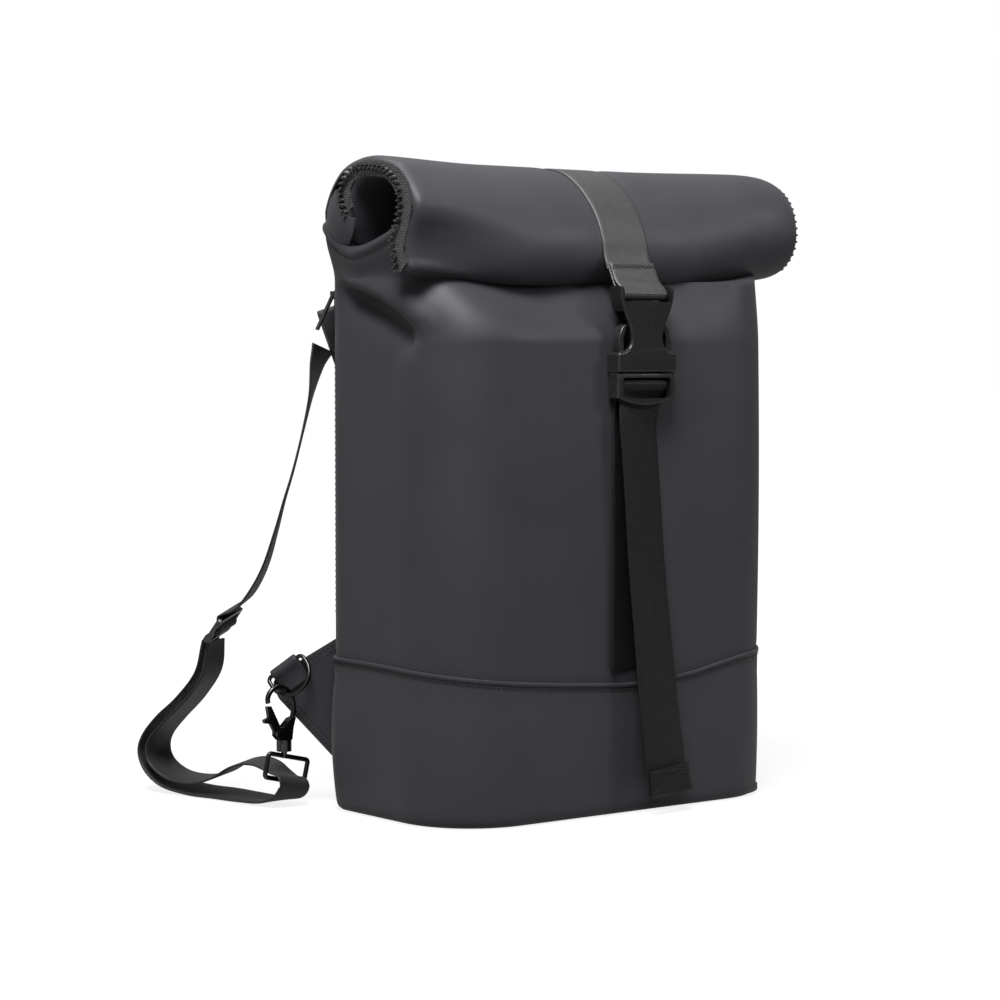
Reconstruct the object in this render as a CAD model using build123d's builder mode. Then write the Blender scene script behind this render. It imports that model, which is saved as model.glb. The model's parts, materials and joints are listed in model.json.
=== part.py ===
"""Roll-top backpack: a coated-leather body closed by one webbing strap and buckle.

Frame: X to the right seen from the front, Y towards the back, Z up, millimetres.
The origin is on the ground, in the middle of the base sheet.
"""
from build123d import *
import math
import os

os.makedirs("parts", exist_ok=True)

# ---------------------------------------------------------------- driving sizes
body_width = 290.0
body_depth = 144.0
front_corner = 56.0          # plan radius of the two front corners
back_corner = 30.0           # plan radius of the two back corners
skin = 2.0                   # coated leather with its backing
band_height = 94.0           # top edge of the base band
lean_height = 306.0          # from here up the front leans back under the roll
shoulder_height = 346.0      # top of the panels, foot of the neck
lean_back = 22.0             # how far the front has leaned at the shoulder
clear = 0.3                  # running and seating clearance of soft pieces

board_thickness = 3.0
lining_thickness = 0.8
lining_gap = 1.5             # lining to skin, room for the zip tape
sleeve_width = 226.0
sleeve_height = 225.0
sleeve_room = 20.0
sleeve_wall = 3.0
pad_width = 216.0
pad_height = 176.0
pad_thickness = 7.0

roll_length = 304.0          # rolled sheet without its end zips
roll_half_depth = 53.0       # half axes of the outer turn, at the middle of the sheet
roll_half_height = 32.0
roll_sheet = 4.0             # two skins lying on each other
roll_middle_y = -4.0
neck_height = 26.0
neck_mouth_y = 35.0
roll_zip_width = 6.0
roll_zip_thickness = 3.0

zip_tape_thickness = 1.0
zip_tape_angle = 52.0        # how much of the back corner the tape covers, degrees
zip_foot = 128.0
zip_top = shoulder_height - 2
zip_teeth_width = 6.0
zip_teeth_height = 3.4
zip_slot = 9.6               # gap between front and back panel that shows the teeth
slider_width = 10.0
slider_length = 14.0
slider_plate = 2.2
slider_flange = 1.1
slider_height = zip_top - 11  # middle of the slider at rest
pull_length = 26.0
pull_width = 6.5
pull_thickness = 1.6
pull_pin_radius = 0.9
pull_swing = 25.0            # degrees the pull stands off the corner at rest

strap_width = 38.0           # closing strap
strap_thickness = 1.6
strap_foot_back = shoulder_height - 50   # where the closing strap is sewn to the back
strap_front_end = shoulder_height + 18   # where it is sewn to the buckle's loop

buckle_front_gap = 0.5       # buckle to front panel
buckle_width = 49.0
buckle_thickness = 13.0
socket_length = 55.0
socket_top = shoulder_height - 4
socket_foot = socket_top - socket_length
socket_wall = 2.2
waist_half = 13.2            # half width of the front plate between the side cut-outs
plug_height = 21.5           # plug frame below the socket
plug_foot = socket_foot - plug_height
plug_thickness = 11.0
bar_radius = 2.2
plug_bar_height = plug_foot + 13.5
prong_thickness = 7.0
prong_width = 3.6
prong_reach = 21.6           # half width over the prongs
tail_foot = 14.0

web_width = 25.0             # shoulder webbing
web_thickness = 1.6
yoke_thickness = 5.0
glide_wire = 3.2
wire = 1.4                   # radius of the D-ring wire
ring_half = 14.0
ring_leg = 7.0
ring_tilt = 30.0             # degrees the ring stands off its tab
claw_wire = 1.7
hook_axis = (-164.0, 91.0)
pin_radius = 2.0
pin_clear = 0.05
eye_wire = 1.6
eye_width = web_width + 3.4 + 4 * eye_wire
eye_height = 19.0
eye_tilt = 13.0
eye_bar_height = 17.5        # lower bar of the eye over the ground
tab_thickness = 3.0
tab_heading = 40.0           # degrees the tab turns from the side to the back

half_width = body_width / 2
half_depth = body_depth / 2
corner_x = half_width - back_corner
corner_y = half_depth - back_corner
front_face = -half_depth
roll_middle_z = shoulder_height + neck_height + 13.5
neck_mouth_length = roll_length + 2 * (skin + clear)


def hand_over(built, name):
    """Label a finished piece and write its STEP file."""
    built.part.label = name
    export_step(built.part, f"parts/{name}.step")


def hand_over_pair(left, name):
    """Write a left-hand piece and its mirror image across the middle of the bag."""
    hand_over(left, name + "_left")
    with BuildPart() as right:
        mirror(left.part, about=Plane.YZ)
    hand_over(right, name + "_right")


def footprint(height, inset, lean=0.0):
    """Plan outline of the body: wide round front corners, tighter back corners."""
    width = body_width - 2 * inset
    depth = body_depth - lean - 2 * inset
    with BuildSketch(Plane.XY.offset(height)) as plan:
        with Locations((0, lean / 2)):
            Rectangle(width, depth)
        fillet(plan.vertices().group_by(Axis.Y)[0], front_corner - inset)
        fillet(plan.vertices().group_by(Axis.Y)[-1], back_corner - inset)
    return plan.sketch


def core(foot, inset):
    """Solid body from foot to the shoulder, its front leaning back near the top."""
    with BuildPart() as solid:
        extrude(footprint(foot, inset), amount=lean_height - foot)
        leaning = footprint(shoulder_height, inset, lean_back)
        loft([footprint(lean_height, inset).face(), leaning.face()])
    return solid.part


def corner_plane(radius, height):
    """Plane on the left back corner: x along the skin, y outwards, z up."""
    turn = math.radians(135)
    origin = (
        -corner_x + radius * math.cos(turn),
        corner_y + radius * math.sin(turn),
        height,
    )
    return Plane(origin=origin, x_dir=(math.sin(turn), -math.cos(turn), 0), z_dir=(0, 0, 1))


# ------------------------------------------------------------------------ base
with BuildPart() as base_sheet:
    extrude(footprint(0, 0), amount=skin)
hand_over(base_sheet, "base_sheet")

with BuildPart() as base_board:
    extrude(footprint(skin, skin + clear), amount=board_thickness)
hand_over(base_board, "base_board")

with BuildPart() as base_band:
    extrude(footprint(skin, 0), amount=band_height - skin)
    extrude(footprint(skin, skin), amount=band_height - skin, mode=Mode.SUBTRACT)
hand_over(base_band, "base_band")

# ---------------------------------------------------- front panel and back panel
with BuildPart() as shell:
    add(core(band_height, 0))
    add(core(band_height, skin), mode=Mode.SUBTRACT)
    for side in (-1, 1):
        slot_plane = corner_plane(back_corner, zip_foot)
        if side > 0:
            slot_plane = Plane(
                origin=(-slot_plane.origin.X, slot_plane.origin.Y, zip_foot),
                x_dir=(slot_plane.x_dir.X, -slot_plane.x_dir.Y, 0),
                z_dir=(0, 0, 1),
            )
        with Locations(slot_plane):
            Box(
                zip_slot,
                4 * skin,
                shoulder_height - zip_foot,
                align=(Align.CENTER, Align.CENTER, Align.MIN),
                mode=Mode.SUBTRACT,
            )

seam_y = corner_y + back_corner * math.sin(math.radians(45))
seam_plane = Plane(origin=(0, seam_y, 0), x_dir=(1, 0, 0), z_dir=(0, -1, 0))

with BuildPart() as front_panel:
    add(shell.part)
    split(bisect_by=seam_plane, keep=Keep.TOP)
hand_over(front_panel, "front_panel")

with BuildPart() as back_panel:
    add(shell.part)
    split(bisect_by=seam_plane, keep=Keep.BOTTOM)
hand_over(back_panel, "back_panel")

with BuildPart() as back_pad:
    with BuildSketch(Plane(origin=(0, half_depth, 0), x_dir=(-1, 0, 0), z_dir=(0, 1, 0))):
        with Locations((0, band_height + 14 + pad_height / 2)):
            RectangleRounded(pad_width, pad_height, 18)
    extrude(amount=pad_thickness)
    fillet(back_pad.faces().sort_by(Axis.Y)[-1].edges(), 3)
hand_over(back_pad, "back_pad")

# ---------------------------------------------------------- lining and its sleeve
lining_inset = skin + lining_gap
lining_foot = skin + board_thickness + clear
with BuildPart() as lining:
    add(core(lining_foot, lining_inset))
    add(
        core(lining_foot + lining_thickness, lining_inset + lining_thickness),
        mode=Mode.SUBTRACT,
    )
hand_over(lining, "lining")

sleeve_back = half_depth - lining_inset - lining_thickness
sleeve_foot = lining_foot + lining_thickness
with BuildPart() as laptop_sleeve:
    with BuildSketch(Plane.XY.offset(sleeve_foot)):
        with Locations((0, sleeve_back)):
            Rectangle(sleeve_width, sleeve_room + sleeve_wall, align=(Align.CENTER, Align.MAX))
            Rectangle(
                sleeve_width - 2 * sleeve_wall,
                sleeve_room,
                align=(Align.CENTER, Align.MAX),
                mode=Mode.SUBTRACT,
            )
    extrude(amount=sleeve_height)
hand_over(laptop_sleeve, "laptop_sleeve")


# ------------------------------------------------------------------ neck and roll
def neck_solid(inset, foot, top):
    """The body narrowing to the flat mouth that the roll closes."""
    with BuildPart() as solid:
        with BuildSketch(Plane.XY.offset(top)) as mouth:
            with Locations((0, neck_mouth_y)):
                RectangleRounded(
                    neck_mouth_length - 2 * inset, roll_sheet + 2 * clear + 2 * (skin - inset), 1.2
                )
        loft([footprint(foot, inset, lean_back).face(), mouth.sketch.face()])
    return solid.part


with BuildPart() as neck:
    add(neck_solid(0, shoulder_height, shoulder_height + neck_height))
    add(neck_solid(skin, shoulder_height, shoulder_height + neck_height), mode=Mode.SUBTRACT)
hand_over(neck, "neck")

outer_front = roll_middle_y - roll_half_depth
fold_y = outer_front + 11
inner_front = outer_front + 22
fold_z = shoulder_height + 4.5
inner_half_depth = roll_half_depth - 22
inner_half_height = roll_half_height - 12
back_y = roll_middle_y + roll_half_depth


def roll_outer_turn():
    """Line of the sheet from the mouth up the back, over the top and down to the front fold."""
    mouth = (neck_mouth_y, shoulder_height + neck_height + clear)
    rise = (neck_mouth_y, shoulder_height + neck_height + 2)
    with BuildLine() as turn:
        Line(mouth, rise)
        Spline(rise, (back_y, roll_middle_z), tangents=((0, 1), (0, 1)))
        EllipticalCenterArc(
            (roll_middle_y, roll_middle_z),
            roll_half_depth,
            roll_half_height,
            start_angle=0,
            arc_size=180,
        )
        Line((outer_front, roll_middle_z), (outer_front, fold_z + 11))
    return turn.line


with BuildPart() as roll_top:
    with BuildSketch(Plane.YZ):
        with BuildLine():
            add(roll_outer_turn())
            ThreePointArc(
                (outer_front, fold_z + 11),
                (outer_front + 11 - 11 * math.cos(math.radians(45)), fold_z + 3.2),
                (fold_y, fold_z),
            )
            ThreePointArc(
                (fold_y, fold_z),
                (inner_front - 3.2, fold_z + 3.2),
                (inner_front, fold_z + 11),
            )
            Line((inner_front, fold_z + 11), (inner_front, roll_middle_z - 6))
            EllipticalCenterArc(
                (inner_front + inner_half_depth, roll_middle_z - 6),
                inner_half_depth,
                inner_half_height,
                start_angle=20,
                arc_size=160,
            )
        trace(line_width=roll_sheet)
    extrude(amount=roll_length / 2, both=True)
hand_over(roll_top, "roll_top")

with BuildPart() as roll_zip:
    with BuildSketch(Plane.YZ.offset(-roll_length / 2)):
        with BuildLine():
            add(roll_outer_turn())
        trace(line_width=roll_zip_thickness)
    extrude(amount=-roll_zip_width)
hand_over_pair(roll_zip, "roll_zip")

# ---------------------------------------------------------------------- side zips
tape_radius = back_corner - skin - zip_tape_thickness / 2
with BuildPart() as side_zip_tape:
    with BuildSketch(Plane.XY.offset(zip_foot - 2)):
        with BuildLine():
            CenterArc((-corner_x, corner_y), tape_radius, 135 - zip_tape_angle / 2, zip_tape_angle)
        trace(line_width=zip_tape_thickness)
    extrude(amount=zip_top - zip_foot)
hand_over_pair(side_zip_tape, "side_zip_tape")

teeth_base = back_corner - skin
with BuildPart() as side_zip_teeth:
    with Locations(corner_plane(teeth_base, zip_foot + 2)):
        Box(
            zip_teeth_width,
            zip_teeth_height,
            zip_top - zip_foot - 4,
            align=(Align.CENTER, Align.MIN, Align.MIN),
        )
hand_over_pair(side_zip_teeth, "side_zip_teeth")

plate_base = teeth_base + zip_teeth_height + 0.5
flange_depth = 2.6
pull_axis_out = plate_base + slider_plate + 1.6
pull_axis_z = slider_height + 4
lug_width = 2.4
lug_half = 2.6
with BuildPart() as zip_slider:
    with Locations(corner_plane(plate_base, slider_height)):
        Box(slider_width, slider_plate, slider_length, align=(Align.CENTER, Align.MIN, Align.CENTER))
    inner_half = zip_teeth_width / 2 + clear
    for shift in (-inner_half - slider_flange / 2, inner_half + slider_flange / 2):
        with Locations(corner_plane(plate_base, slider_height)):
            with Locations((shift, 0, 0)):
                Box(
                    slider_flange,
                    flange_depth,
                    slider_length,
                    align=(Align.CENTER, Align.MAX, Align.CENTER),
                )
    fillet(zip_slider.edges().filter_by(Axis.Z).sort_by(Axis.X)[0], 0.6)
    with Locations(corner_plane(plate_base + slider_plate, pull_axis_z)):
        Box(
            lug_width,
            2 * (pull_axis_out - plate_base - slider_plate),
            2 * lug_half,
            align=(Align.CENTER, Align.MIN, Align.CENTER),
        )
    with Locations(corner_plane(pull_axis_out, pull_axis_z)):
        with Locations(Rotation(0, 90, 0)):
            Cylinder(pull_pin_radius + pin_clear, lug_width + 2, mode=Mode.SUBTRACT)
hand_over_pair(zip_slider, "zip_slider")

with BuildPart() as zip_pull:
    with Locations(corner_plane(pull_axis_out, pull_axis_z)):
        with Locations(Rotation(pull_swing, 0, 0)):
            with Locations((0, 0, -pull_length / 2 + 1.2)):
                Box(pull_width, pull_thickness, pull_length)
            with Locations((0, 0, 0)):
                Box(lug_width + 2 * clear, 2 * lug_half, 7.2, mode=Mode.SUBTRACT)
            with Locations((0, 0, -pull_length + 6)):
                Box(pull_width - 3.2, 2 * pull_thickness, 6, mode=Mode.SUBTRACT)
            with Locations(Rotation(0, 90, 0)):
                Cylinder(pull_pin_radius, pull_width)
hand_over_pair(zip_pull, "zip_pull")

# ------------------------------------------------------------------ closing strap
strap_off = roll_sheet / 2 + clear + strap_thickness / 2
with BuildPart() as closing_strap:
    with BuildSketch(Plane.YZ):
        with BuildLine():
            flat_y = half_depth + clear + strap_thickness / 2
            Line((flat_y, strap_foot_back), (flat_y, shoulder_height + 1))
            Spline(
                (flat_y, shoulder_height + 1),
                (back_y + strap_off, roll_middle_z),
                tangents=((0, 1), (0, 1)),
            )
            EllipticalCenterArc(
                (roll_middle_y, roll_middle_z),
                roll_half_depth + strap_off,
                roll_half_height + strap_off,
                start_angle=0,
                arc_size=180,
            )
            Line((outer_front - strap_off, roll_middle_z), (outer_front - strap_off, strap_front_end))
        trace(line_width=strap_thickness)
    extrude(amount=strap_width / 2, both=True)
hand_over(closing_strap, "closing_strap")

# ------------------------------------------------------------------------ buckle
buckle_y = front_face - buckle_front_gap - buckle_thickness / 2
socket_bar_z = socket_top - 5
bar_wrap = bar_radius + clear + strap_thickness / 2
seam_point = (outer_front - 2 * strap_off - 0.7, strap_front_end + 1)


def unit(vector):
    size = math.hypot(*vector)
    return tuple(value / size for value in vector)


with BuildPart() as buckle_loop:
    along = unit((seam_point[0] - buckle_y, seam_point[1] - socket_bar_z))
    across = (-along[1], along[0])
    layer = strap_thickness / 2 + clear / 2
    front_leg = (buckle_y + bar_wrap * across[0], socket_bar_z + bar_wrap * across[1])
    back_leg = (buckle_y - bar_wrap * across[0], socket_bar_z - bar_wrap * across[1])
    turn = (buckle_y - bar_wrap * along[0], socket_bar_z - bar_wrap * along[1])
    front_seam = (seam_point[0] + layer * across[0], seam_point[1] + layer * across[1])
    back_seam = (seam_point[0] - layer * across[0], seam_point[1] - layer * across[1])
    with BuildSketch(Plane.YZ):
        with BuildLine():
            Line(front_seam, front_leg)
            ThreePointArc(front_leg, turn, back_leg)
            Line(back_leg, (back_seam[0] - 3 * along[0], back_seam[1] - 3 * along[1]))
        trace(line_width=strap_thickness)
    extrude(amount=strap_width / 2, both=True)
hand_over(buckle_loop, "buckle_loop")

half_buckle = buckle_width / 2
cavity_half = prong_reach + 0.7
cavity_thickness = prong_thickness + 1.2
cut_middle = socket_foot + 22
cavity_top = socket_top - 16
front_plane = Plane(origin=(0, buckle_y, 0), x_dir=(1, 0, 0), z_dir=(0, -1, 0))
with BuildPart() as buckle_socket:
    with BuildSketch(front_plane):
        with BuildLine():
            Line((0, socket_foot), (half_buckle, socket_foot))
            Line((half_buckle, socket_foot), (half_buckle, cut_middle - 12))
            Spline(
                (half_buckle, cut_middle - 12),
                (half_buckle - 4.5, cut_middle - 8.5),
                (waist_half + 1.2, cut_middle - 5),
                (waist_half, cut_middle),
                (waist_half + 2, cut_middle + 8),
                (half_buckle - 5.5, cut_middle + 16),
                (half_buckle - 2.2, cut_middle + 26),
                (half_buckle - 2, socket_top),
                tangents=((0, 1), (0, 1)),
            )
            Line((half_buckle - 2, socket_top), (0, socket_top))
            mirror(about=Plane.YZ)
        make_face()
    extrude(amount=buckle_thickness / 2, both=True)
    fillet(buckle_socket.faces().filter_by(Axis.Y).edges(), 2.0)
    with Locations((0, buckle_y, socket_foot)):
        Box(
            2 * cavity_half,
            cavity_thickness,
            cavity_top - socket_foot,
            align=(Align.CENTER, Align.CENTER, Align.MIN),
            mode=Mode.SUBTRACT,
        )
    web_half = strap_width / 2 + 1
    with Locations((0, buckle_y, socket_bar_z - bar_wrap - strap_thickness)):
        Box(
            2 * web_half,
            2 * buckle_thickness,
            4 * bar_wrap,
            align=(Align.CENTER, Align.CENTER, Align.MIN),
            mode=Mode.SUBTRACT,
        )
    with Locations((0, buckle_y, socket_bar_z)):
        with Locations(Rotation(0, 90, 0)):
            Cylinder(bar_radius, 2 * web_half + 1)
hand_over(buckle_socket, "buckle_socket")

prong_root_z = socket_foot - 2.5
prong_pivot_x = 16.0
tail_near_y = front_face - 2 * clear - 1.5 * strap_thickness - 2.0   # tail under the plug
web_behind = tail_near_y - strap_thickness / 2 - clear               # both webs pass behind this
with BuildPart() as buckle_plug:
    with BuildSketch(front_plane):
        with BuildLine():
            Polyline(
                (half_buckle, plug_foot + 5),
                (half_buckle, socket_foot - clear),
                (-half_buckle, socket_foot - clear),
                (-half_buckle, plug_foot + 5),
            )
            ThreePointArc((-half_buckle, plug_foot + 5), (0, plug_foot), (half_buckle, plug_foot + 5))
        make_face()
    extrude(amount=plug_thickness / 2, both=True)
    fillet(buckle_plug.faces().filter_by(Axis.Y).edges(), 2.2)
    window_foot = plug_foot + 4.5
    with BuildSketch(front_plane):
        with Locations((0, (window_foot + prong_root_z - 1) / 2)):
            RectangleRounded(2 * web_half, prong_root_z - 1 - window_foot, 1.5)
    extrude(amount=buckle_thickness, both=True, mode=Mode.SUBTRACT)
    with Locations((0, buckle_y, plug_bar_height)):
        with Locations(Rotation(0, 90, 0)):
            Cylinder(bar_radius, 2 * web_half + 1)
    with Locations((0, web_behind, plug_foot - 1)):
        Box(
            2 * web_half,
            plug_thickness,
            window_foot - plug_foot + 2,
            align=(Align.CENTER, Align.MIN, Align.MIN),
            mode=Mode.SUBTRACT,
        )
    with Locations((0, buckle_y, socket_foot - clear)):
        Box(17, prong_thickness, 27, align=(Align.CENTER, Align.CENTER, Align.MIN))
    for side in (-1, 1):
        with Locations((side * (prong_pivot_x + 2), buckle_y, prong_root_z)):
            Box(
                12.6,
                prong_thickness + 2 * clear,
                8,
                align=(Align.CENTER, Align.CENTER, Align.MIN),
                mode=Mode.SUBTRACT,
            )
hand_over(buckle_plug, "buckle_plug")

with BuildPart() as buckle_prong:
    with BuildSketch(front_plane):
        with BuildLine():
            Polyline(
                (-prong_pivot_x + 2, prong_root_z + clear),
                (-prong_pivot_x - 2.5, prong_root_z + clear),
                (-prong_reach + 1.5, socket_foot + 4),
                (-prong_reach, cut_middle - 8),
                (-prong_reach, cut_middle + 1),
                (-prong_reach + 2.6, cut_middle + 7),
                (-prong_reach + 6.2, cut_middle + 9),
                (-prong_reach + 6.2, cut_middle + 6.5),
                (-prong_reach + prong_width, cut_middle + 1),
                (-prong_reach + prong_width, cut_middle - 8),
                (-prong_pivot_x + 2, prong_root_z + clear),
            )
        make_face()
    extrude(amount=prong_thickness / 2, both=True)
hand_over_pair(buckle_prong, "buckle_prong")

# --------------------------------------------------- adjusting strap with its tail
strap_face_y = front_face - clear - strap_thickness / 2
under_y = buckle_y + bar_wrap
lower_turn = bar_wrap * math.sin(math.radians(45))
tail_bend = 8.0              # radius of the tail's turn downwards under the window
bend_start_y = tail_near_y - tail_bend * (1 - math.cos(math.radians(45)))
bend_start = (bend_start_y, plug_bar_height - (bend_start_y - buckle_y + 2 * lower_turn))
bend_end = (tail_near_y, bend_start[1] - tail_bend * math.sin(math.radians(45)))
with BuildPart() as adjusting_strap:
    with BuildSketch(Plane.YZ):
        with BuildLine():
            Line((strap_face_y, band_height + clear), (strap_face_y, plug_foot - 2))
            Spline(
                (strap_face_y, plug_foot - 2),
                (under_y, plug_bar_height),
                tangents=((0, 1), (0, 1)),
            )
            ThreePointArc(
                (under_y, plug_bar_height),
                (buckle_y - lower_turn, plug_bar_height + lower_turn),
                (buckle_y - lower_turn, plug_bar_height - lower_turn),
            )
            Line((buckle_y - lower_turn, plug_bar_height - lower_turn), bend_start)
            TangentArc(bend_start, bend_end, tangent=(1, -1))
            Spline(
                bend_end,
                (tail_near_y, plug_foot - 60),
                (tail_near_y - 2, band_height + 40),
                (tail_near_y - 8, band_height / 2),
                (tail_near_y - 11, tail_foot),
                tangents=((0, -1), (-0.2, -1)),
            )
        trace(line_width=strap_thickness)
    extrude(amount=strap_width / 2, both=True)
hand_over(adjusting_strap, "adjusting_strap")

# ------------------------------------------------- shoulder straps and lower tabs


def ribbon(stations, width, thickness):
    """Webbing through hand-set stations, each the middle of the web and a line across it."""
    faces = []
    last = len(stations) - 1
    for index, (point, line) in enumerate(stations):
        before = Vector(*stations[max(index - 1, 0)][0])
        after = Vector(*stations[min(index + 1, last)][0])
        along = (after - before).normalized()
        side = Vector(*line).normalized()
        side = (side - along * side.dot(along)).normalized()
        with BuildSketch(Plane(origin=point, x_dir=side, z_dir=along)) as section:
            Rectangle(width, thickness)
        faces.append(section.sketch.face())
    with BuildPart() as web:
        loft(faces, ruled=True)
    return web


web_heading = math.radians(15.0)     # the strap loop's web lies turned from X to the back
web_offset = -132.0                  # where the loop's upright plane stands along the web


def loop_point(run, height, aside=0.0):
    """A point of the upright plane that the strap loop lies in, or aside from it."""
    offset = web_offset + aside
    return (
        offset * math.cos(web_heading) - run * math.sin(web_heading),
        offset * math.sin(web_heading) + run * math.cos(web_heading),
        height,
    )


def across(heading, tilt):
    """Direction across the web: its heading from X and its tilt out of level, degrees."""
    level = math.cos(math.radians(tilt))
    return (
        level * math.cos(math.radians(heading)),
        level * math.sin(math.radians(heading)),
        math.sin(math.radians(tilt)),
    )


yoke_y = half_depth + yoke_thickness / 2 + clear
yoke_middle_height = shoulder_height - 24
strap_rise = shoulder_height - 346         # the strap's upper end follows the yoke
with BuildPart() as yoke:
    yoke_stations = [
        ((-44, yoke_y, yoke_middle_height), 46),
        ((-80, yoke_y, yoke_middle_height - 3), 46),
        ((-108, yoke_y + 3, yoke_middle_height - 7), 43),
        ((-128, yoke_y + 8, yoke_middle_height - 11), 39),
        ((-142, yoke_y + 13, yoke_middle_height - 15), 34),
    ]
    faces = []
    for point, height in yoke_stations:
        with BuildSketch(Plane(origin=point, x_dir=(0, 0, 1), z_dir=(-1, 0, 0))) as section:
            Rectangle(height, yoke_thickness)
        faces.append(section.sketch.face())
    loft(faces, ruled=True)
hand_over_pair(yoke, "shoulder_yoke")

# tri-glide: the webbing passes behind its end bars and in front of its middle bar
glide_middle = Vector(*loop_point(186.5, 117))
glide_along = (Vector(*loop_point(193, 103)) - Vector(*loop_point(171, 129))).normalized()
glide_side = Vector(*across(24, 18))
glide_side = (glide_side - glide_along * glide_side.dot(glide_along)).normalized()
glide_plane = Plane(origin=glide_middle, x_dir=glide_side, z_dir=glide_side.cross(glide_along))
glide_slot = 6.0
with BuildPart() as tri_glide:
    with BuildSketch(glide_plane):
        RectangleRounded(web_width + 2 + 2 * glide_wire, 2 * glide_slot + 3 * glide_wire, 3)
        with Locations((0, (glide_slot + glide_wire) / 2), (0, -(glide_slot + glide_wire) / 2)):
            RectangleRounded(web_width + 2, glide_slot, 1, mode=Mode.SUBTRACT)
    extrude(amount=glide_wire / 2, both=True)
hand_over_pair(tri_glide, "tri_glide")

glide_off = glide_wire / 2 + web_thickness / 2 + clear
glide_half = glide_slot + 1.5 * glide_wire


def glide_station(down, out):
    """Station of the web at the tri-glide: how far down it and how far off its middle."""
    point = glide_middle + glide_along * down + glide_plane.z_dir * out
    return ((point.X, point.Y, point.Z), (glide_side.X, glide_side.Y, glide_side.Z))


shoulder_strap = ribbon(
    [
        ((-143, 86, 289.7 + strap_rise), across(5, 0)),
        ((-144.5, 88, 268 + 0.9 * strap_rise), across(22, 0)),
        ((-148.5, 91, 245 + 0.75 * strap_rise), across(42, 0)),
        ((-152.5, 96, 222 + 0.6 * strap_rise), across(50, 0)),
        ((-156, 101.5, 202 + 0.45 * strap_rise), across(52, 0)),
        ((-158.5, 107.5, 182 + 0.25 * strap_rise), across(50, 4)),
        ((-161.5, 115, 160), across(44, 9)),
        ((-165.5, 122.5, 144), across(36, 14)),
        ((-170, 131, 132.5), across(28, 18)),
        glide_station(-glide_half, glide_off + 0.1),
        glide_station(-glide_half + glide_wire + 0.2, glide_off),
        glide_station(-glide_wire / 2 - 0.2, -glide_off),
        glide_station(glide_wire / 2 + 0.2, -glide_off),
        glide_station(glide_half - glide_wire - 0.2, glide_off),
        glide_station(glide_half + 1.2, glide_off + 0.1),
    ],
    web_width,
    web_thickness,
)
hand_over_pair(shoulder_strap, "shoulder_strap")

strap_loop = ribbon(
    [
        glide_station(glide_half + 2.6, glide_off + 0.1),
        (loop_point(203, 87), across(21, 10)),
        (loop_point(219.5, 68), across(18, 6)),
        (loop_point(238, 53), across(16, 4)),
        (loop_point(251, 39), across(15, 3)),
        (loop_point(255, 27), across(15, 3)),
        (loop_point(249, 15), across(15, 4)),
        (loop_point(234, 6.5), across(15, 6)),
        (loop_point(210, 3.4), across(15, 8)),
        (loop_point(186, 3.2), across(15, 8)),
        (loop_point(163, 2.9, -1), across(14, 6)),
        (loop_point(142, 3.2, -2), across(11, 2)),
        (loop_point(128, 6.5, -2.9), across(7, -6)),
        (loop_point(121.5, 13.5, -2.9), across(4, -12)),
        (loop_point(124, 19, -2.9), across(2, -13)),
        (loop_point(130.4, 21.2, -2.9), across(2, -13)),
        (loop_point(138, 24, -2.5), across(5, -8)),
        (loop_point(148, 27, -1), across(9, 0)),
        (loop_point(160, 27.5), across(13, 6)),
        (loop_point(173, 24), across(15, 8)),
        (loop_point(188, 16), across(15, 8)),
        (loop_point(206, 11), across(15, 8)),
        (loop_point(225, 11.2), across(15, 6)),
        (loop_point(238, 15.5), across(15, 4)),
        (loop_point(246, 22), across(15, 3)),
        (loop_point(248, 30), across(15, 3)),
        (loop_point(244, 38.5), across(16, 4)),
        (loop_point(232, 50), across(16, 5)),
        (loop_point(213.5, 65.5), across(18, 7)),
        (loop_point(198, 84), across(21, 11)),
        glide_station(glide_half + 2.2, -1.4),
    ],
    web_width,
    web_thickness,
)
hand_over_pair(strap_loop, "strap_loop")

# lower tab: a leather triangle sewn into the side seam, its corner holding the ring
tab_root = Vector(-half_width + 15.4, corner_y + 34, 0)
tab_turn = math.radians(tab_heading)
tab_out = Vector(-math.cos(tab_turn), math.sin(tab_turn), 0)
tab_plane = Plane(origin=tab_root, x_dir=tab_out, z_dir=tab_out.cross(Vector(0, 0, 1)))
ring_edge_low = (44.5, 82.0)
ring_edge_high = (24.5, 97.0)
with BuildPart() as side_tab:
    with BuildSketch(tab_plane):
        with BuildLine():
            Polyline((-6.5, 116), ring_edge_high, ring_edge_low, (41, 71), (-6.5, 20), close=True)
        make_face()
    extrude(amount=tab_thickness / 2, both=True)
hand_over_pair(side_tab, "side_tab")

edge_middle = (Vector(*ring_edge_low) + Vector(*ring_edge_high)) * 0.5
edge_along = (Vector(*ring_edge_high) - Vector(*ring_edge_low)).normalized()
edge_out = Vector(-edge_along.Y, edge_along.X)
if edge_out.Y < 0:
    edge_out = edge_out * -1
ring_seat = 3.0              # ring bar beyond the edge of the tab
ring_off = 2.6               # and off its middle plane
sleeve_wall_web = 1.7
tongue = 1.3                 # leather of the ring loop on each face of the tab
bar_middle = edge_middle + edge_out * ring_seat


def on_tab(point):
    """A point of the tab's plane, in the bag's frame."""
    return tab_plane.from_local_coords(Vector(point.X, point.Y, 0))


tab_away = tab_plane.z_dir
if tab_away.Y > 0:
    tab_away = tab_away * -1
bar_origin = on_tab(bar_middle) + tab_away * ring_off
bar_along = (on_tab(edge_middle + edge_along) - on_tab(edge_middle)).normalized()
down_tab = (on_tab(edge_middle - edge_out) - on_tab(edge_middle)).normalized()
tilt = math.radians(ring_tilt)
ring_down = down_tab * math.cos(tilt) + tab_away * math.sin(tilt)
sleeve_radius = wire + clear + sleeve_wall_web
sleeve_length = 2 * ring_half - 7

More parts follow.
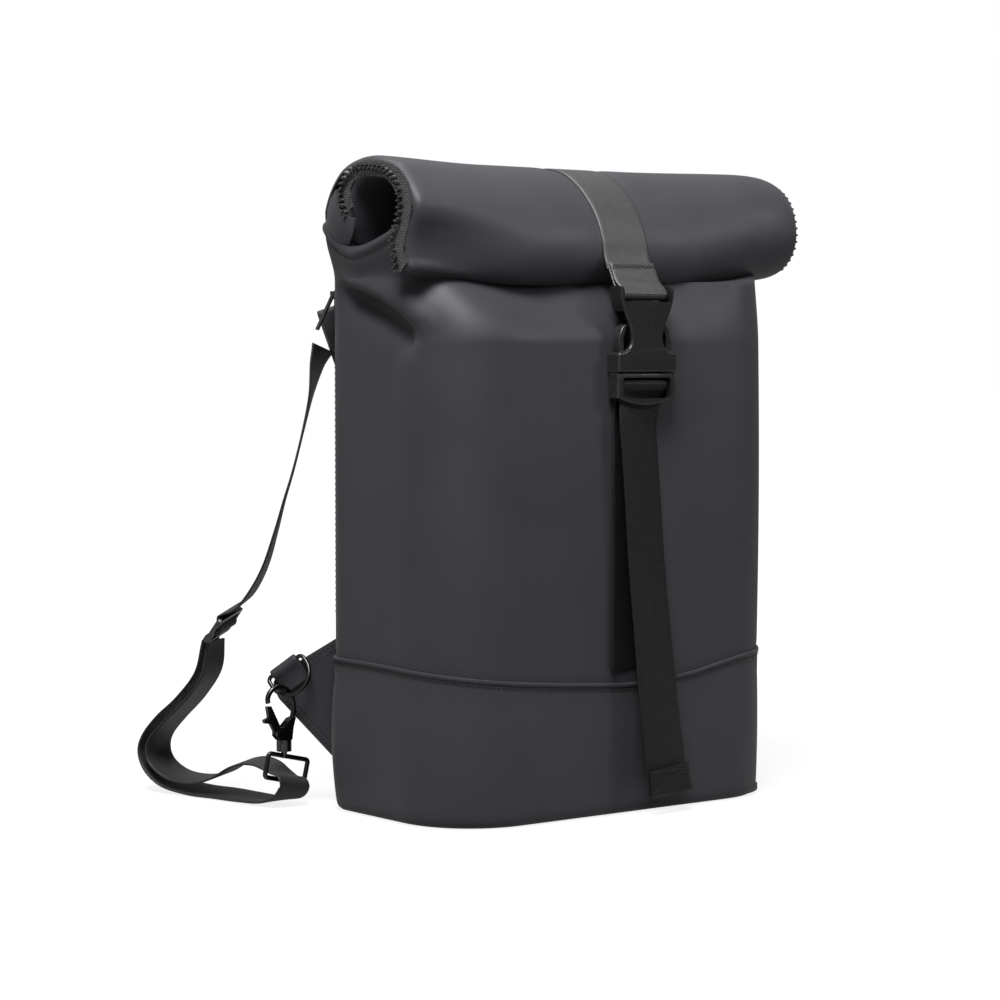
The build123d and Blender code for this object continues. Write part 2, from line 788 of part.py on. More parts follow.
with BuildPart() as ring_sleeve:
    with BuildSketch(Plane(origin=bar_origin, x_dir=down_tab, z_dir=bar_along)):
        Circle(sleeve_radius)
    extrude(amount=sleeve_length / 2, both=True)
    with BuildSketch(Plane(origin=on_tab(bar_middle), x_dir=down_tab, z_dir=bar_along)):
        with Locations((sleeve_radius, 0)):
            Rectangle(2 * sleeve_radius + 3, tab_thickness + 2 * tongue)
    extrude(amount=sleeve_length / 2, both=True)
    with BuildSketch(Plane(origin=bar_origin, x_dir=down_tab, z_dir=bar_along)):
        Circle(wire + clear)
    extrude(amount=sleeve_length, both=True, mode=Mode.SUBTRACT)
    add(side_tab.part, mode=Mode.SUBTRACT)
hand_over_pair(ring_sleeve, "ring_sleeve")

with BuildPart() as d_ring:
    ring_plane = Plane(origin=bar_origin, x_dir=bar_along, z_dir=bar_along.cross(ring_down))
    bend = 3.0
    nook = bend * (1 - math.sin(math.radians(45)))
    with BuildLine(ring_plane) as ring_line:
        Line((-ring_half + bend, 0), (ring_half - bend, 0))
        ThreePointArc((ring_half - bend, 0), (ring_half - nook, nook), (ring_half, bend))
        Line((ring_half, bend), (ring_half, ring_leg))
        ThreePointArc((ring_half, ring_leg), (0, ring_leg + ring_half), (-ring_half, ring_leg))
        Line((-ring_half, ring_leg), (-ring_half, bend))
        ThreePointArc((-ring_half, bend), (-ring_half + nook, nook), (-ring_half + bend, 0))
    with BuildSketch(Plane(origin=bar_origin, x_dir=ring_down, z_dir=bar_along)):
        Circle(wire)
    sweep(path=ring_line.line)
hand_over_pair(d_ring, "d_ring")

# ---------------------------------------------------------------- swivel snap hook
hook_x, hook_y = hook_axis
hook_plane = Plane(origin=(hook_x, hook_y, 0), x_dir=(1, 0, 0), z_dir=(0, -1, 0))
eye_rise = eye_height - 2 * eye_wire
eye_slope = math.radians(eye_tilt)
eye_top_z = eye_bar_height + eye_rise * math.cos(eye_slope)
collar_foot = eye_top_z + eye_wire + 2.4
collar_radius = 5.0
collar_height = 7.5
claw_foot = collar_foot + collar_height
pin_reach = 5.5              # swivel pin inside the collar

eye_plane = Plane(
    origin=(
        hook_x + eye_rise / 2 * math.sin(eye_slope),
        hook_y,
        eye_bar_height + eye_rise / 2 * math.cos(eye_slope),
    ),
    x_dir=(math.cos(eye_slope), 0, -math.sin(eye_slope)),
    z_dir=(0, -1, 0),
)
with BuildSketch(eye_plane) as eye_outline:
    RectangleRounded(eye_width - 2 * eye_wire, eye_rise, 2)
eye_path = eye_outline.sketch.face().outer_wire()
with BuildPart() as hook_eye:
    with BuildSketch(Plane(origin=eye_path @ 0, z_dir=eye_path % 0)):
        Circle(eye_wire)
    sweep(path=eye_path)
    with Locations((hook_x, hook_y, eye_top_z - 0.5)):
        Cylinder(
            pin_radius,
            collar_foot + pin_reach - eye_top_z,
            align=(Align.CENTER, Align.CENTER, Align.MIN),
        )
hand_over_pair(hook_eye, "hook_eye")

gate_pivot = (-5.0, claw_foot + 5.0)
claw_top = 79.6
with BuildPart() as snap_hook:
    with Locations((hook_x, hook_y, collar_foot)):
        Cylinder(collar_radius, collar_height, align=(Align.CENTER, Align.CENTER, Align.MIN))
    with BuildSketch(hook_plane):
        with BuildLine():
            Polyline(
                (-4.6, claw_foot),
                (4.6, claw_foot),
                (5.6, claw_foot + 8),
                (7.6, claw_foot + 15),
                (3.6, claw_foot + 14),
                (-1.4, claw_foot + 9),
                (-7.2, claw_foot + 8),
                (-7.4, claw_foot + 3),
                close=True,
            )
        make_face()
    extrude(amount=3.2, both=True)
    with BuildSketch(hook_plane):
        with BuildLine():
            Polyline(
                (-9, claw_foot + 1.5),
                (-2.2, claw_foot + 1.5),
                (0.6, claw_foot + 12),
                (-9, claw_foot + 12),
                close=True,
            )
        make_face()
    extrude(amount=1.8, both=True, mode=Mode.SUBTRACT)
    with BuildLine(hook_plane) as claw_line:
        Spline(
            (5.0, claw_foot + 11),
            (7.4, claw_foot + 19),
            (6.6, 71),
            (1.0, claw_top - 1.4),
            (-6.0, claw_top),
            (-11.4, claw_top - 3.8),
            (-12.4, 69.6),
        )
    with BuildSketch(Plane(origin=claw_line.line @ 0, z_dir=claw_line.line % 0)):
        Circle(claw_wire)
    sweep(path=claw_line.line)
    with Locations((hook_x, hook_y, collar_foot)):
        Cylinder(
            pin_radius + pin_clear,
            pin_reach + clear,
            align=(Align.CENTER, Align.CENTER, Align.MIN),
            mode=Mode.SUBTRACT,
        )
    with Locations((hook_x + gate_pivot[0], hook_y, gate_pivot[1])):
        with Locations(Rotation(90, 0, 0)):
            Cylinder(0.9 + pin_clear, 5, mode=Mode.SUBTRACT)
hand_over_pair(snap_hook, "snap_hook")

with BuildPart() as hook_gate:
    with BuildSketch(hook_plane):
        with BuildLine():
            Polyline(
                (gate_pivot[0] - 1.8, gate_pivot[1] - 1.6),
                (gate_pivot[0] + 1.6, gate_pivot[1] - 1.2),
                (gate_pivot[0] + 1.4, gate_pivot[1] + 4),
                (-10.6, 67.4),
                (-14.0, 67.4),
                (-12.6, 60),
                (-16.4, 58.6),
                (-15.6, 56.4),
                (-11.4, 56),
                close=True,
            )
        make_face()
    extrude(amount=1.5, both=True)
    with Locations((hook_x + gate_pivot[0], hook_y, gate_pivot[1])):
        with Locations(Rotation(90, 0, 0)):
            Cylinder(0.9, 5)
hand_over_pair(hook_gate, "hook_gate")

# -------------------------------------------------------------------- haul loop
haul_half = 52.0             # half the distance between its feet, sewn onto the yokes
haul_spring = yoke_middle_height   # where the feet end and the bow begins
haul_foot = haul_spring - 16
haul_top = haul_spring + 44
haul_width = 10.0
haul_thickness = 3.2
haul_y = half_depth + yoke_thickness + 2 * clear + haul_thickness / 2
with BuildPart() as haul_loop:
    with BuildSketch(Plane(origin=(0, haul_y, 0), x_dir=(-1, 0, 0), z_dir=(0, 1, 0))):
        with BuildLine():
            Line((-haul_half, haul_foot), (-haul_half, haul_spring))
            ThreePointArc((-haul_half, haul_spring), (0, haul_top), (haul_half, haul_spring))
            Line((haul_half, haul_spring), (haul_half, haul_foot))
        trace(line_width=haul_width)
    extrude(amount=haul_thickness / 2, both=True)
hand_over(haul_loop, "haul_loop")
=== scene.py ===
"""Roll-top backpack in matte coated leather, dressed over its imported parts.

Frame: X to the right seen from the front, Y towards the back, Z up. Shapes are worked in
millimetres and made into meshes in metres.
"""
import json
import math

import bmesh
import bpy
import numpy as np
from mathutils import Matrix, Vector

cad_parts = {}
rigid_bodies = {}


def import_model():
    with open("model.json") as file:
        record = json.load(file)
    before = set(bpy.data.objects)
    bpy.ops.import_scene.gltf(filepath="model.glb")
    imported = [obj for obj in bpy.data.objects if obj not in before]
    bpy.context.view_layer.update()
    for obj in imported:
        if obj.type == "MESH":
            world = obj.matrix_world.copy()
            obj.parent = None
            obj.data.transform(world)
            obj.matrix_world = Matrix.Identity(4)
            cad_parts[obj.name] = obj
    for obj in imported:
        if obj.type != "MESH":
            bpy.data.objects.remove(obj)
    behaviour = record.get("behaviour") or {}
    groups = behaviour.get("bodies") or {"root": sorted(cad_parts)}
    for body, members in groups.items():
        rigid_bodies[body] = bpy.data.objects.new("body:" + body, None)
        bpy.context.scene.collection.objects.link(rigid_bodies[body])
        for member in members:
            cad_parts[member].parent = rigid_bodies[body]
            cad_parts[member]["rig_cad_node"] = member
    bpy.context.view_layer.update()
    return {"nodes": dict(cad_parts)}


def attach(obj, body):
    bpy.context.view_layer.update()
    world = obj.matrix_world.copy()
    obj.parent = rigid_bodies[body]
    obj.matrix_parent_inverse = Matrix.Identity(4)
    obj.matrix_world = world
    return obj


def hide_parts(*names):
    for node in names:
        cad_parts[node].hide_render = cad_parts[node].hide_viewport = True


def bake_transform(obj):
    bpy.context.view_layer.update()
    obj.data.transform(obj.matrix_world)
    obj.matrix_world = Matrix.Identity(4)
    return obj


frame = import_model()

MM = 0.001
SIDES = (("left", 1), ("right", -1))


# ------------------------------------------------------------------ node helpers
def node(tree, kind, inputs=None, **settings):
    """Add a node, set its properties, and wire or set its inputs by name or number."""
    made = tree.nodes.new(kind)
    for key, value in settings.items():
        setattr(made, key, value)
    for key, value in (inputs or {}).items():
        socket = made.inputs[key]
        if isinstance(value, bpy.types.NodeSocket):
            tree.links.new(value, socket)
        else:
            socket.default_value = value
    return made


def sums(tree, operation, first, second=0.0, third=0.0):
    """A Math node's result."""
    made = node(tree, "ShaderNodeMath", {0: first, 1: second, 2: third}, operation=operation)
    return made.outputs[0]


def blended(tree, factor, first, second, blend="MIX"):
    """Two colours mixed by a factor."""
    made = node(tree, "ShaderNodeMix", data_type="RGBA", blend_type=blend)
    wanted = ((made.inputs[0], factor), (made.inputs[6], first), (made.inputs[7], second))
    for socket, value in wanted:
        if isinstance(value, bpy.types.NodeSocket):
            tree.links.new(value, socket)
        else:
            socket.default_value = value
    return made.outputs[2]


def spread(tree, value, low, high, to_low=0.0, to_high=1.0):
    """A value carried from one range to another, clamped."""
    made = node(tree, "ShaderNodeMapRange", {
        "Value": value, "From Min": low, "From Max": high, "To Min": to_low, "To Max": to_high})
    return made.outputs[0]


def grey(level, tint=(1.0, 1.0, 1.0)):
    """Linear colour of a written screen grey, with a slight tint."""
    linear = (level / 255 / 12.92) if level < 10 else ((level / 255 + 0.055) / 1.055) ** 2.4
    return (linear * tint[0], linear * tint[1], linear * tint[2], 1.0)


def group(name, inputs, outputs):
    """A shader group with named sockets, and its two end nodes."""
    tree = bpy.data.node_groups.new(name, "ShaderNodeTree")
    for label, kind, value in inputs:
        socket = tree.interface.new_socket(label, in_out="INPUT", socket_type=kind)
        if value is not None:
            socket.default_value = value
    for label, kind in outputs:
        tree.interface.new_socket(label, in_out="OUTPUT", socket_type=kind)
    return tree, tree.nodes.new("NodeGroupInput"), tree.nodes.new("NodeGroupOutput")


COLOR, FLOAT, VECTOR = "NodeSocketColor", "NodeSocketFloat", "NodeSocketVector"


def grain_group():
    """Fine pebble of a coated skin, with soft mottling of colour and gloss."""
    tree, given, out = group(
        "skin_grain",
        [("Vector", VECTOR, None), ("Color", COLOR, None), ("Pebble", FLOAT, 900.0),
         ("Mottle", FLOAT, 0.1), ("Roughness", FLOAT, 0.55)],
        [("Color", COLOR), ("Roughness", FLOAT), ("Height", FLOAT)])
    pebble = node(tree, "ShaderNodeTexVoronoi", {
        "Vector": given.outputs["Vector"], "Scale": given.outputs["Pebble"]}, feature="SMOOTH_F1")
    pores = node(tree, "ShaderNodeTexNoise", {
        "Vector": given.outputs["Vector"], "Scale": 2600.0, "Detail": 2.0})
    cloud = node(tree, "ShaderNodeTexNoise", {
        "Vector": given.outputs["Vector"], "Scale": 22.0, "Detail": 3.0, "Roughness": 0.55})
    shade = spread(tree, cloud.outputs[0], 0.3, 0.7, -1.0, 1.0)
    gain = sums(tree, "MULTIPLY_ADD", shade, given.outputs["Mottle"], 1.0)
    bright = node(tree, "ShaderNodeVectorMath", {0: given.outputs["Color"]}, operation="SCALE")
    tree.links.new(gain, bright.inputs["Scale"])
    tree.links.new(bright.outputs[0], out.inputs["Color"])
    gloss = sums(tree, "MULTIPLY_ADD", shade, 0.05, given.outputs["Roughness"])
    fine = sums(tree, "MULTIPLY_ADD", pores.outputs[0], 0.06, gloss)
    tree.links.new(fine, out.inputs["Roughness"])
    rough = sums(tree, "MULTIPLY_ADD", pores.outputs[0], 0.5, pebble.outputs["Distance"])
    tree.links.new(rough, out.inputs["Height"])
    return tree


def weave_group():
    """Webbing weave on the strap's own map: ribs across it and a twill line over them."""
    tree, given, out = group(
        "strap_weave",
        [("Map", VECTOR, None), ("Color", COLOR, None), ("Thread", FLOAT, 0.0011),
         ("Half Width", FLOAT, 0.019), ("Gloss", FLOAT, 0.0)],
        [("Color", COLOR), ("Roughness", FLOAT), ("Height", FLOAT)])
    parts = node(tree, "ShaderNodeSeparateXYZ", {0: given.outputs["Map"]})
    along = sums(tree, "DIVIDE", parts.outputs[0], given.outputs["Thread"])
    side = sums(tree, "DIVIDE", parts.outputs[1], given.outputs["Thread"])
    ribs = sums(tree, "ABSOLUTE", sums(tree, "SINE", sums(tree, "MULTIPLY", along, math.pi)))
    slant = sums(tree, "ADD", sums(tree, "MULTIPLY", along, 0.5), side)
    twill = sums(tree, "ABSOLUTE", sums(tree, "SINE", sums(tree, "MULTIPLY", slant, math.pi)))
    woven = sums(tree, "MULTIPLY_ADD", twill, 0.6, sums(tree, "MULTIPLY", ribs, 0.5))
    out_from_middle = sums(tree, "ABSOLUTE", parts.outputs[1])
    edge = sums(tree, "DIVIDE", out_from_middle, given.outputs["Half Width"])
    selvedge = spread(tree, edge, 0.88, 0.94)    # the smooth edge that every webbing has
    height = sums(tree, "MULTIPLY_ADD", selvedge, 0.25, woven)
    tree.links.new(height, out.inputs["Height"])
    fuzz = node(tree, "ShaderNodeTexNoise", {
        "Vector": given.outputs["Map"], "Scale": 160.0, "Detail": 4.0})
    # colour follows the weave's height: painted shade in the dips between threads, with random fuzz
    # over it
    light = sums(tree, "MULTIPLY_ADD", woven, 0.75, 0.45)
    light = sums(tree, "MULTIPLY", light, spread(tree, fuzz.outputs[0], 0.3, 0.7, 0.85, 1.15))
    bright = node(tree, "ShaderNodeVectorMath", {0: given.outputs["Color"]}, operation="SCALE")
    tree.links.new(light, bright.inputs["Scale"])
    tree.links.new(bright.outputs[0], out.inputs["Color"])
    dull = spread(tree, woven, 0.0, 1.1, 0.62, 0.42)
    tree.links.new(sums(tree, "SUBTRACT", dull, given.outputs["Gloss"]), out.inputs["Roughness"])
    return tree


def wear_and_glint_group():
    """Worn, lighter edges and faint scratches of a hard piece; on the zip teeth the lighter edges
    are painted glints.
    """
    tree, given, out = group(
        "edge_wear",
        [("Vector", VECTOR, None), ("Color", COLOR, None), ("Rubbed", COLOR, None),
         ("Amount", FLOAT, 0.5), ("Roughness", FLOAT, 0.35)],
        [("Color", COLOR), ("Roughness", FLOAT), ("Height", FLOAT)])
    shape = node(tree, "ShaderNodeNewGeometry")
    edge = spread(tree, shape.outputs["Pointiness"], 0.51, 0.58)
    speckle = node(tree, "ShaderNodeTexNoise", {
        "Vector": given.outputs["Vector"], "Scale": 420.0, "Detail": 5.0, "Roughness": 0.65})
    rub_and_glint = sums(tree, "MULTIPLY", edge, spread(tree, speckle.outputs[0], 0.35, 0.6))
    rub_and_glint = sums(tree, "MULTIPLY", rub_and_glint, given.outputs["Amount"])
    worn = blended(tree, rub_and_glint, given.outputs["Color"], given.outputs["Rubbed"])
    tree.links.new(worn, out.inputs["Color"])
    uneven = spread(tree, speckle.outputs[0], 0.3, 0.7, -0.06, 0.08)
    tree.links.new(sums(tree, "ADD", given.outputs["Roughness"], uneven), out.inputs["Roughness"])
    tree.links.new(speckle.outputs[0], out.inputs["Height"])
    return tree


GRAIN, WEAVE, WEAR_AND_GLINT = grain_group(), weave_group(), wear_and_glint_group()
LEATHER_TINT = (1.0, 0.98, 1.16)    # the coating is a cool, faintly violet grey


def started(name, uses, values, **shader_values):
    """A material with one effect group feeding its Principled shader."""
    made = bpy.data.materials.new(name)
    made.use_nodes = True
    tree = made.node_tree
    shader = tree.nodes["Principled BSDF"]
    for key, value in shader_values.items():
        shader.inputs[key.replace("_", " ")].default_value = value
    effect = node(tree, "ShaderNodeGroup", node_tree=uses)
    for key, value in values.items():
        effect.inputs[key].default_value = value
    tree.links.new(effect.outputs["Color"], shader.inputs["Base Color"])
    tree.links.new(effect.outputs["Roughness"], shader.inputs["Roughness"])
    return made, tree, shader, effect


def bumped(tree, shader, height, strength, depth):
    """Wire a height into the shader's normal."""
    bump = node(tree, "ShaderNodeBump", {"Height": height, "Strength": strength, "Distance": depth})
    tree.links.new(bump.outputs[0], shader.inputs["Normal"])


def coated_leather(name, level, roughness=0.5, pebble=1100.0, depth=0.00006):
    """Smooth coated leather with a rubbery matte face."""
    made, tree, shader, effect = started(
        name, GRAIN,
        {"Color": grey(level, LEATHER_TINT), "Pebble": pebble, "Mottle": 0.05,
         "Roughness": roughness},
        Specular_IOR_Level=0.3, Sheen_Weight=0.06, Sheen_Roughness=0.5)
    place = node(tree, "ShaderNodeTexCoord")
    tree.links.new(place.outputs["Object"], effect.inputs["Vector"])
    bumped(tree, shader, effect.outputs["Height"], 0.35, depth)
    return made


def webbing_cloth(name, level, half_width, thread=0.0011, specular=0.5, sheen=0.04, gloss=0.0):
    """Nylon webbing woven on the strap's own map."""
    made, tree, shader, effect = started(
        name, WEAVE,
        {"Color": grey(level, (1.0, 0.99, 1.0)), "Thread": thread, "Half Width": half_width,
         "Gloss": gloss},
        Specular_IOR_Level=specular, Sheen_Weight=sheen, Sheen_Roughness=0.35)
    strap_map = node(tree, "ShaderNodeUVMap", uv_map="strap")
    tree.links.new(strap_map.outputs[0], effect.inputs["Map"])
    bumped(tree, shader, effect.outputs["Height"], 0.8, 0.0002)
    return made


def woven_cloth(name, level, thread, depth=0.0002):
    """Plain cloth woven in the object's own space, for linings, tapes and mesh pads."""
    made, tree, shader, effect = started(
        name, WEAVE, {"Color": grey(level), "Thread": thread, "Half Width": 10.0},
        Specular_IOR_Level=0.3, Sheen_Weight=0.2, Sheen_Roughness=0.5)
    place = node(tree, "ShaderNodeTexCoord")
    parts = node(tree, "ShaderNodeSeparateXYZ", {0: place.outputs["Object"]})
    wrapped = sums(tree, "ADD", parts.outputs[0], parts.outputs[1])
    flat = node(tree, "ShaderNodeCombineXYZ", {0: parts.outputs[2], 1: wrapped})
    tree.links.new(flat.outputs[0], effect.inputs["Map"])
    bumped(tree, shader, effect.outputs["Height"], 0.9, depth)
    return made


def hard_finish(name, level, rubbed_and_glint, roughness, metallic, amount, coat=0.0):
    """Moulded plastic or plated metal with worn, lighter edges, which on the zip teeth are painted
    glints.
    """
    made, tree, shader, effect = started(
        name, WEAR_AND_GLINT,
        {"Color": grey(level), "Rubbed": grey(rubbed_and_glint), "Amount": amount, "Roughness": roughness},
        Metallic=metallic, Coat_Weight=coat, Coat_Roughness=0.2)
    place = node(tree, "ShaderNodeTexCoord")
    tree.links.new(place.outputs["Object"], effect.inputs["Vector"])
    bumped(tree, shader, effect.outputs["Height"], 0.4, 0.00003)
    return made


BODY_LEATHER = coated_leather("body leather", 53)
ROLL_LEATHER = coated_leather("roll leather", 57, roughness=0.47)
BAND_LEATHER = coated_leather("band leather", 55)
TRIM_LEATHER = coated_leather("trim leather", 46, pebble=700.0, depth=0.0001)
# the closing strap and its buckle loop are the same dark webbing as the adjusting strap, painted
# far lighter as sheen
CLOSING_WEB_PAINTED_SHEEN = webbing_cloth("closing webbing", 60, 0.019, specular=0.8, sheen=0.02, gloss=0.1)
TAIL_WEB = webbing_cloth("adjusting webbing", 19, 0.019, specular=0.3, sheen=0.01)
SHOULDER_WEB = webbing_cloth("shoulder webbing", 34, 0.0125, thread=0.0009)
LINING = woven_cloth("lining cloth", 70, 0.0005)
MESH_PAD = woven_cloth("padded mesh", 40, 0.0016, depth=0.0006)
TAPE = woven_cloth("zip tape cloth", 36, 0.0016, depth=0.0006)
# near-black cloth used only inside the roll, as painted shade
ROLL_SHADE_CLOTH = woven_cloth("dark lining", 10, 0.0006)
BOARD = coated_leather("board", 80, roughness=0.8)
PLASTIC = hard_finish("buckle plastic", 30, 60, 0.33, 0.0, amount=0.35)
# the zip teeth's much lighter edge colour is painted glints
TEETH = hard_finish("zip teeth", 30, 120, 0.22, 0.3, amount=0.35, coat=0.5)
GUNMETAL = hard_finish("gunmetal", 62, 150, 0.25, 1.0, amount=0.6)
THREAD = hard_finish("sewing thread", 12, 30, 0.6, 0.0, amount=0.2)


# ------------------------------------------------------------------ mesh helpers
def linked(name, mesh, material):
    """A new object in the scene from a mesh and its material."""
    made = bpy.data.objects.new(name, mesh)
    bpy.context.scene.collection.objects.link(made)
    mesh.materials.clear()
    mesh.materials.append(material)
    return made


def tidied(mesh, degrees=50.0, merge=0.0):
    """Merge, point faces outwards and shade smooth with sharp edges past an angle."""
    shape = bmesh.new()
    shape.from_mesh(mesh)
    if merge:
        bmesh.ops.remove_doubles(shape, verts=shape.verts, dist=merge)
    bmesh.ops.recalc_face_normals(shape, faces=shape.faces)
    limit = math.radians(degrees)
    for face in shape.faces:
        face.smooth = True
    for edge in shape.edges:
        edge.smooth = not (len(edge.link_faces) == 2 and edge.calc_face_angle(0.0) > limit)
    shape.to_mesh(mesh)
    shape.free()


def made_mesh(name, points, faces, material, degrees=50.0):
    """A piece from points in millimetres and faces."""
    mesh = bpy.data.meshes.new(name)
    mesh.from_pydata((np.asarray(points, float) * MM).tolist(), [], faces)
    tidied(mesh, degrees)
    return linked(name, mesh, material)


def smoothstep(value, low=0.0, high=1.0):
    """Rise softly from 0 to 1 between two values."""
    share = np.clip((np.asarray(value, float) - low) / (high - low), 0.0, 1.0)
    return share * share * (3 - 2 * share)


def with_ends(keys):
    """Key points with one more beyond each end, straight on."""
    return np.vstack([2 * keys[:1] - keys[1:2], keys, 2 * keys[-1:] - keys[-2:-1]])


def between(a, b, c, d, share):
    """Catmull-Rom from b to c, with a and d as their neighbours."""
    return 0.5 * (2 * b + (c - a) * share + (2 * a - 5 * b + 4 * c - d) * share ** 2
                  + (3 * b - a - 3 * c + d) * share ** 3)


def eased(stations, step=2.0):
    """A curve through the stations, spaced evenly along its first three columns."""
    padded = with_ends(np.asarray(stations, float))
    share = np.linspace(0, 1, 16, endpoint=False)[:, None]
    fine = [between(*padded[index:index + 4], share) for index in range(len(padded) - 3)]
    fine = np.vstack(fine + [padded[-2:-1]])
    width = min(3, fine.shape[1])
    run = np.concatenate([[0], np.cumsum(np.linalg.norm(np.diff(fine[:, :width], axis=0), axis=1))])
    count = max(3, int(round(run[-1] / step)) + 1)
    marks = np.linspace(0, run[-1], count)
    return np.column_stack([np.interp(marks, run, fine[:, k]) for k in range(fine.shape[1])])


def unit(rows):
    """Rows made one long."""
    rows = np.asarray(rows, float)
    return rows / np.maximum(np.linalg.norm(rows, axis=-1, keepdims=True), 1e-9)


def shell_faces(rows, cols, around=False):
    """Faces of a closed shell: an outer grid, an inner grid after it, and the edges between."""
    size = rows * cols
    spans = cols if around else cols - 1
    faces = []
    for i in range(rows - 1):
        for j in range(spans):
            k = (j + 1) % cols
            a, b, c, d = i * cols + j, i * cols + k, (i + 1) * cols + k, (i + 1) * cols + j
            faces.append((a, b, c, d))
            faces.append((a + size, d + size, c + size, b + size))
    rims = [(i * cols + j, i * cols + (j + 1) % cols) for i in (0, rows - 1) for j in range(spans)]
    if not around:
        rims += [(i * cols + j, (i + 1) * cols + j) for j in (0, cols - 1) for i in range(rows - 1)]
    return faces + [(a, b, b + size, a + size) for a, b in rims]


def sheet_of(name, outer, thickness, material, outward, around=False):
    """A closed sheet from a grid of its outer face and its thickness. outward is +1 or -1:
    which way rows-by-columns faces. around joins the last column to the first."""
    outer = np.asarray(outer, float)
    rows, cols = outer.shape[:2]
    along = np.gradient(outer, axis=0)
    if around:
        aside = np.roll(outer, -1, axis=1) - np.roll(outer, 1, axis=1)
    else:
        aside = np.gradient(outer, axis=1)
    facing = unit(np.cross(along, aside)) * outward
    inner = outer - facing * thickness
    points = np.vstack([outer.reshape(-1, 3), inner.reshape(-1, 3)])
    return made_mesh(name, points, shell_faces(rows, cols, around), material)


def webbing(name, stations, width, thickness, material, step=2.0, cup=0.0, corner=1.0):
    """Flat strap through stations of a middle point and a line across it, with its own map.
    cup bows it across its width, and corner rounds its long edges."""
    rows = eased([list(point) + list(line) for point, line in stations], step)
    middle, line = rows[:, :3], rows[:, 3:]
    forward = unit(np.gradient(middle, axis=0))
    side = unit(line - forward * np.sum(line * forward, axis=1, keepdims=True))
    facing = np.cross(side, forward)
    edge = corner * thickness / width
    spots = np.concatenate([[-1, -1 + edge * 0.4], np.linspace(-1, 1, 15)[1:-1],
                            [1 - edge * 0.4, 1]])
    over = np.clip((np.abs(spots) - (1 - edge)) / edge, 0, 1)
    rise = thickness / 2 * np.sqrt(np.maximum(1 - over ** 2, 0.04))
    bow = cup * (1 - spots ** 2)
    ring_side = np.concatenate([spots, spots[::-1]]) * width / 2
    ring_rise = np.concatenate([rise + bow, (-rise + bow)[::-1]])
    points = (middle[:, None] + side[:, None] * ring_side[None, :, None]
              + facing[:, None] * ring_rise[None, :, None])
    count, ring = points.shape[:2]
    faces = []
    for i in range(count - 1):
        for j in range(ring):
            k = (j + 1) % ring
            faces.append((i * ring + j, i * ring + k, (i + 1) * ring + k, (i + 1) * ring + j))
    faces.append(tuple(range(ring)))
    faces.append(tuple(range((count - 1) * ring, count * ring))[::-1])
    run = np.concatenate([[0], np.cumsum(np.linalg.norm(np.diff(middle, axis=0), axis=1))])
    strap_map = np.stack([np.repeat(run[:, None], ring, 1),
                          np.repeat(ring_side[None], count, 0)], axis=2) * MM
    mesh = bpy.data.meshes.new(name)
    mesh.from_pydata((points.reshape(-1, 3) * MM).tolist(), [], faces)
    layer = mesh.uv_layers.new(name="strap")
    corners = np.zeros(len(mesh.loops), np.int32)
    mesh.loops.foreach_get("vertex_index", corners)
    layer.data.foreach_set("uv", strap_map.reshape(-1, 2)[corners].astype(np.float32).ravel())
    tidied(mesh, 60.0)
    return linked(name, mesh, material)


def flipped(stations):
    """Stations mirrored across the middle of the bag."""
    return [((-p[0], p[1], p[2]), (-a[0], a[1], a[2])) for p, a in stations]


def mirrored(points):
    """Points mirrored across the middle of the bag."""
    points = np.array(points, float)
    points[..., 0] *= -1
    return points


def refined(cad_node, name, material, bevel=0.0):
    """A merged, smoothly shaded copy of a hard part, which stands for it."""
    mesh = frame["nodes"][cad_node].data.copy()
    mesh.name = name
    made = linked(name, mesh, material)
    tidied(mesh, 32.0, 1e-6)
    if bevel:
        soften = made.modifiers.new("soft edges", "BEVEL")
        soften.width = bevel * MM
        soften.segments = 2
        soften.limit_method = "ANGLE"
        soften.angle_limit = math.radians(40)
    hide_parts(cad_node)
    return made


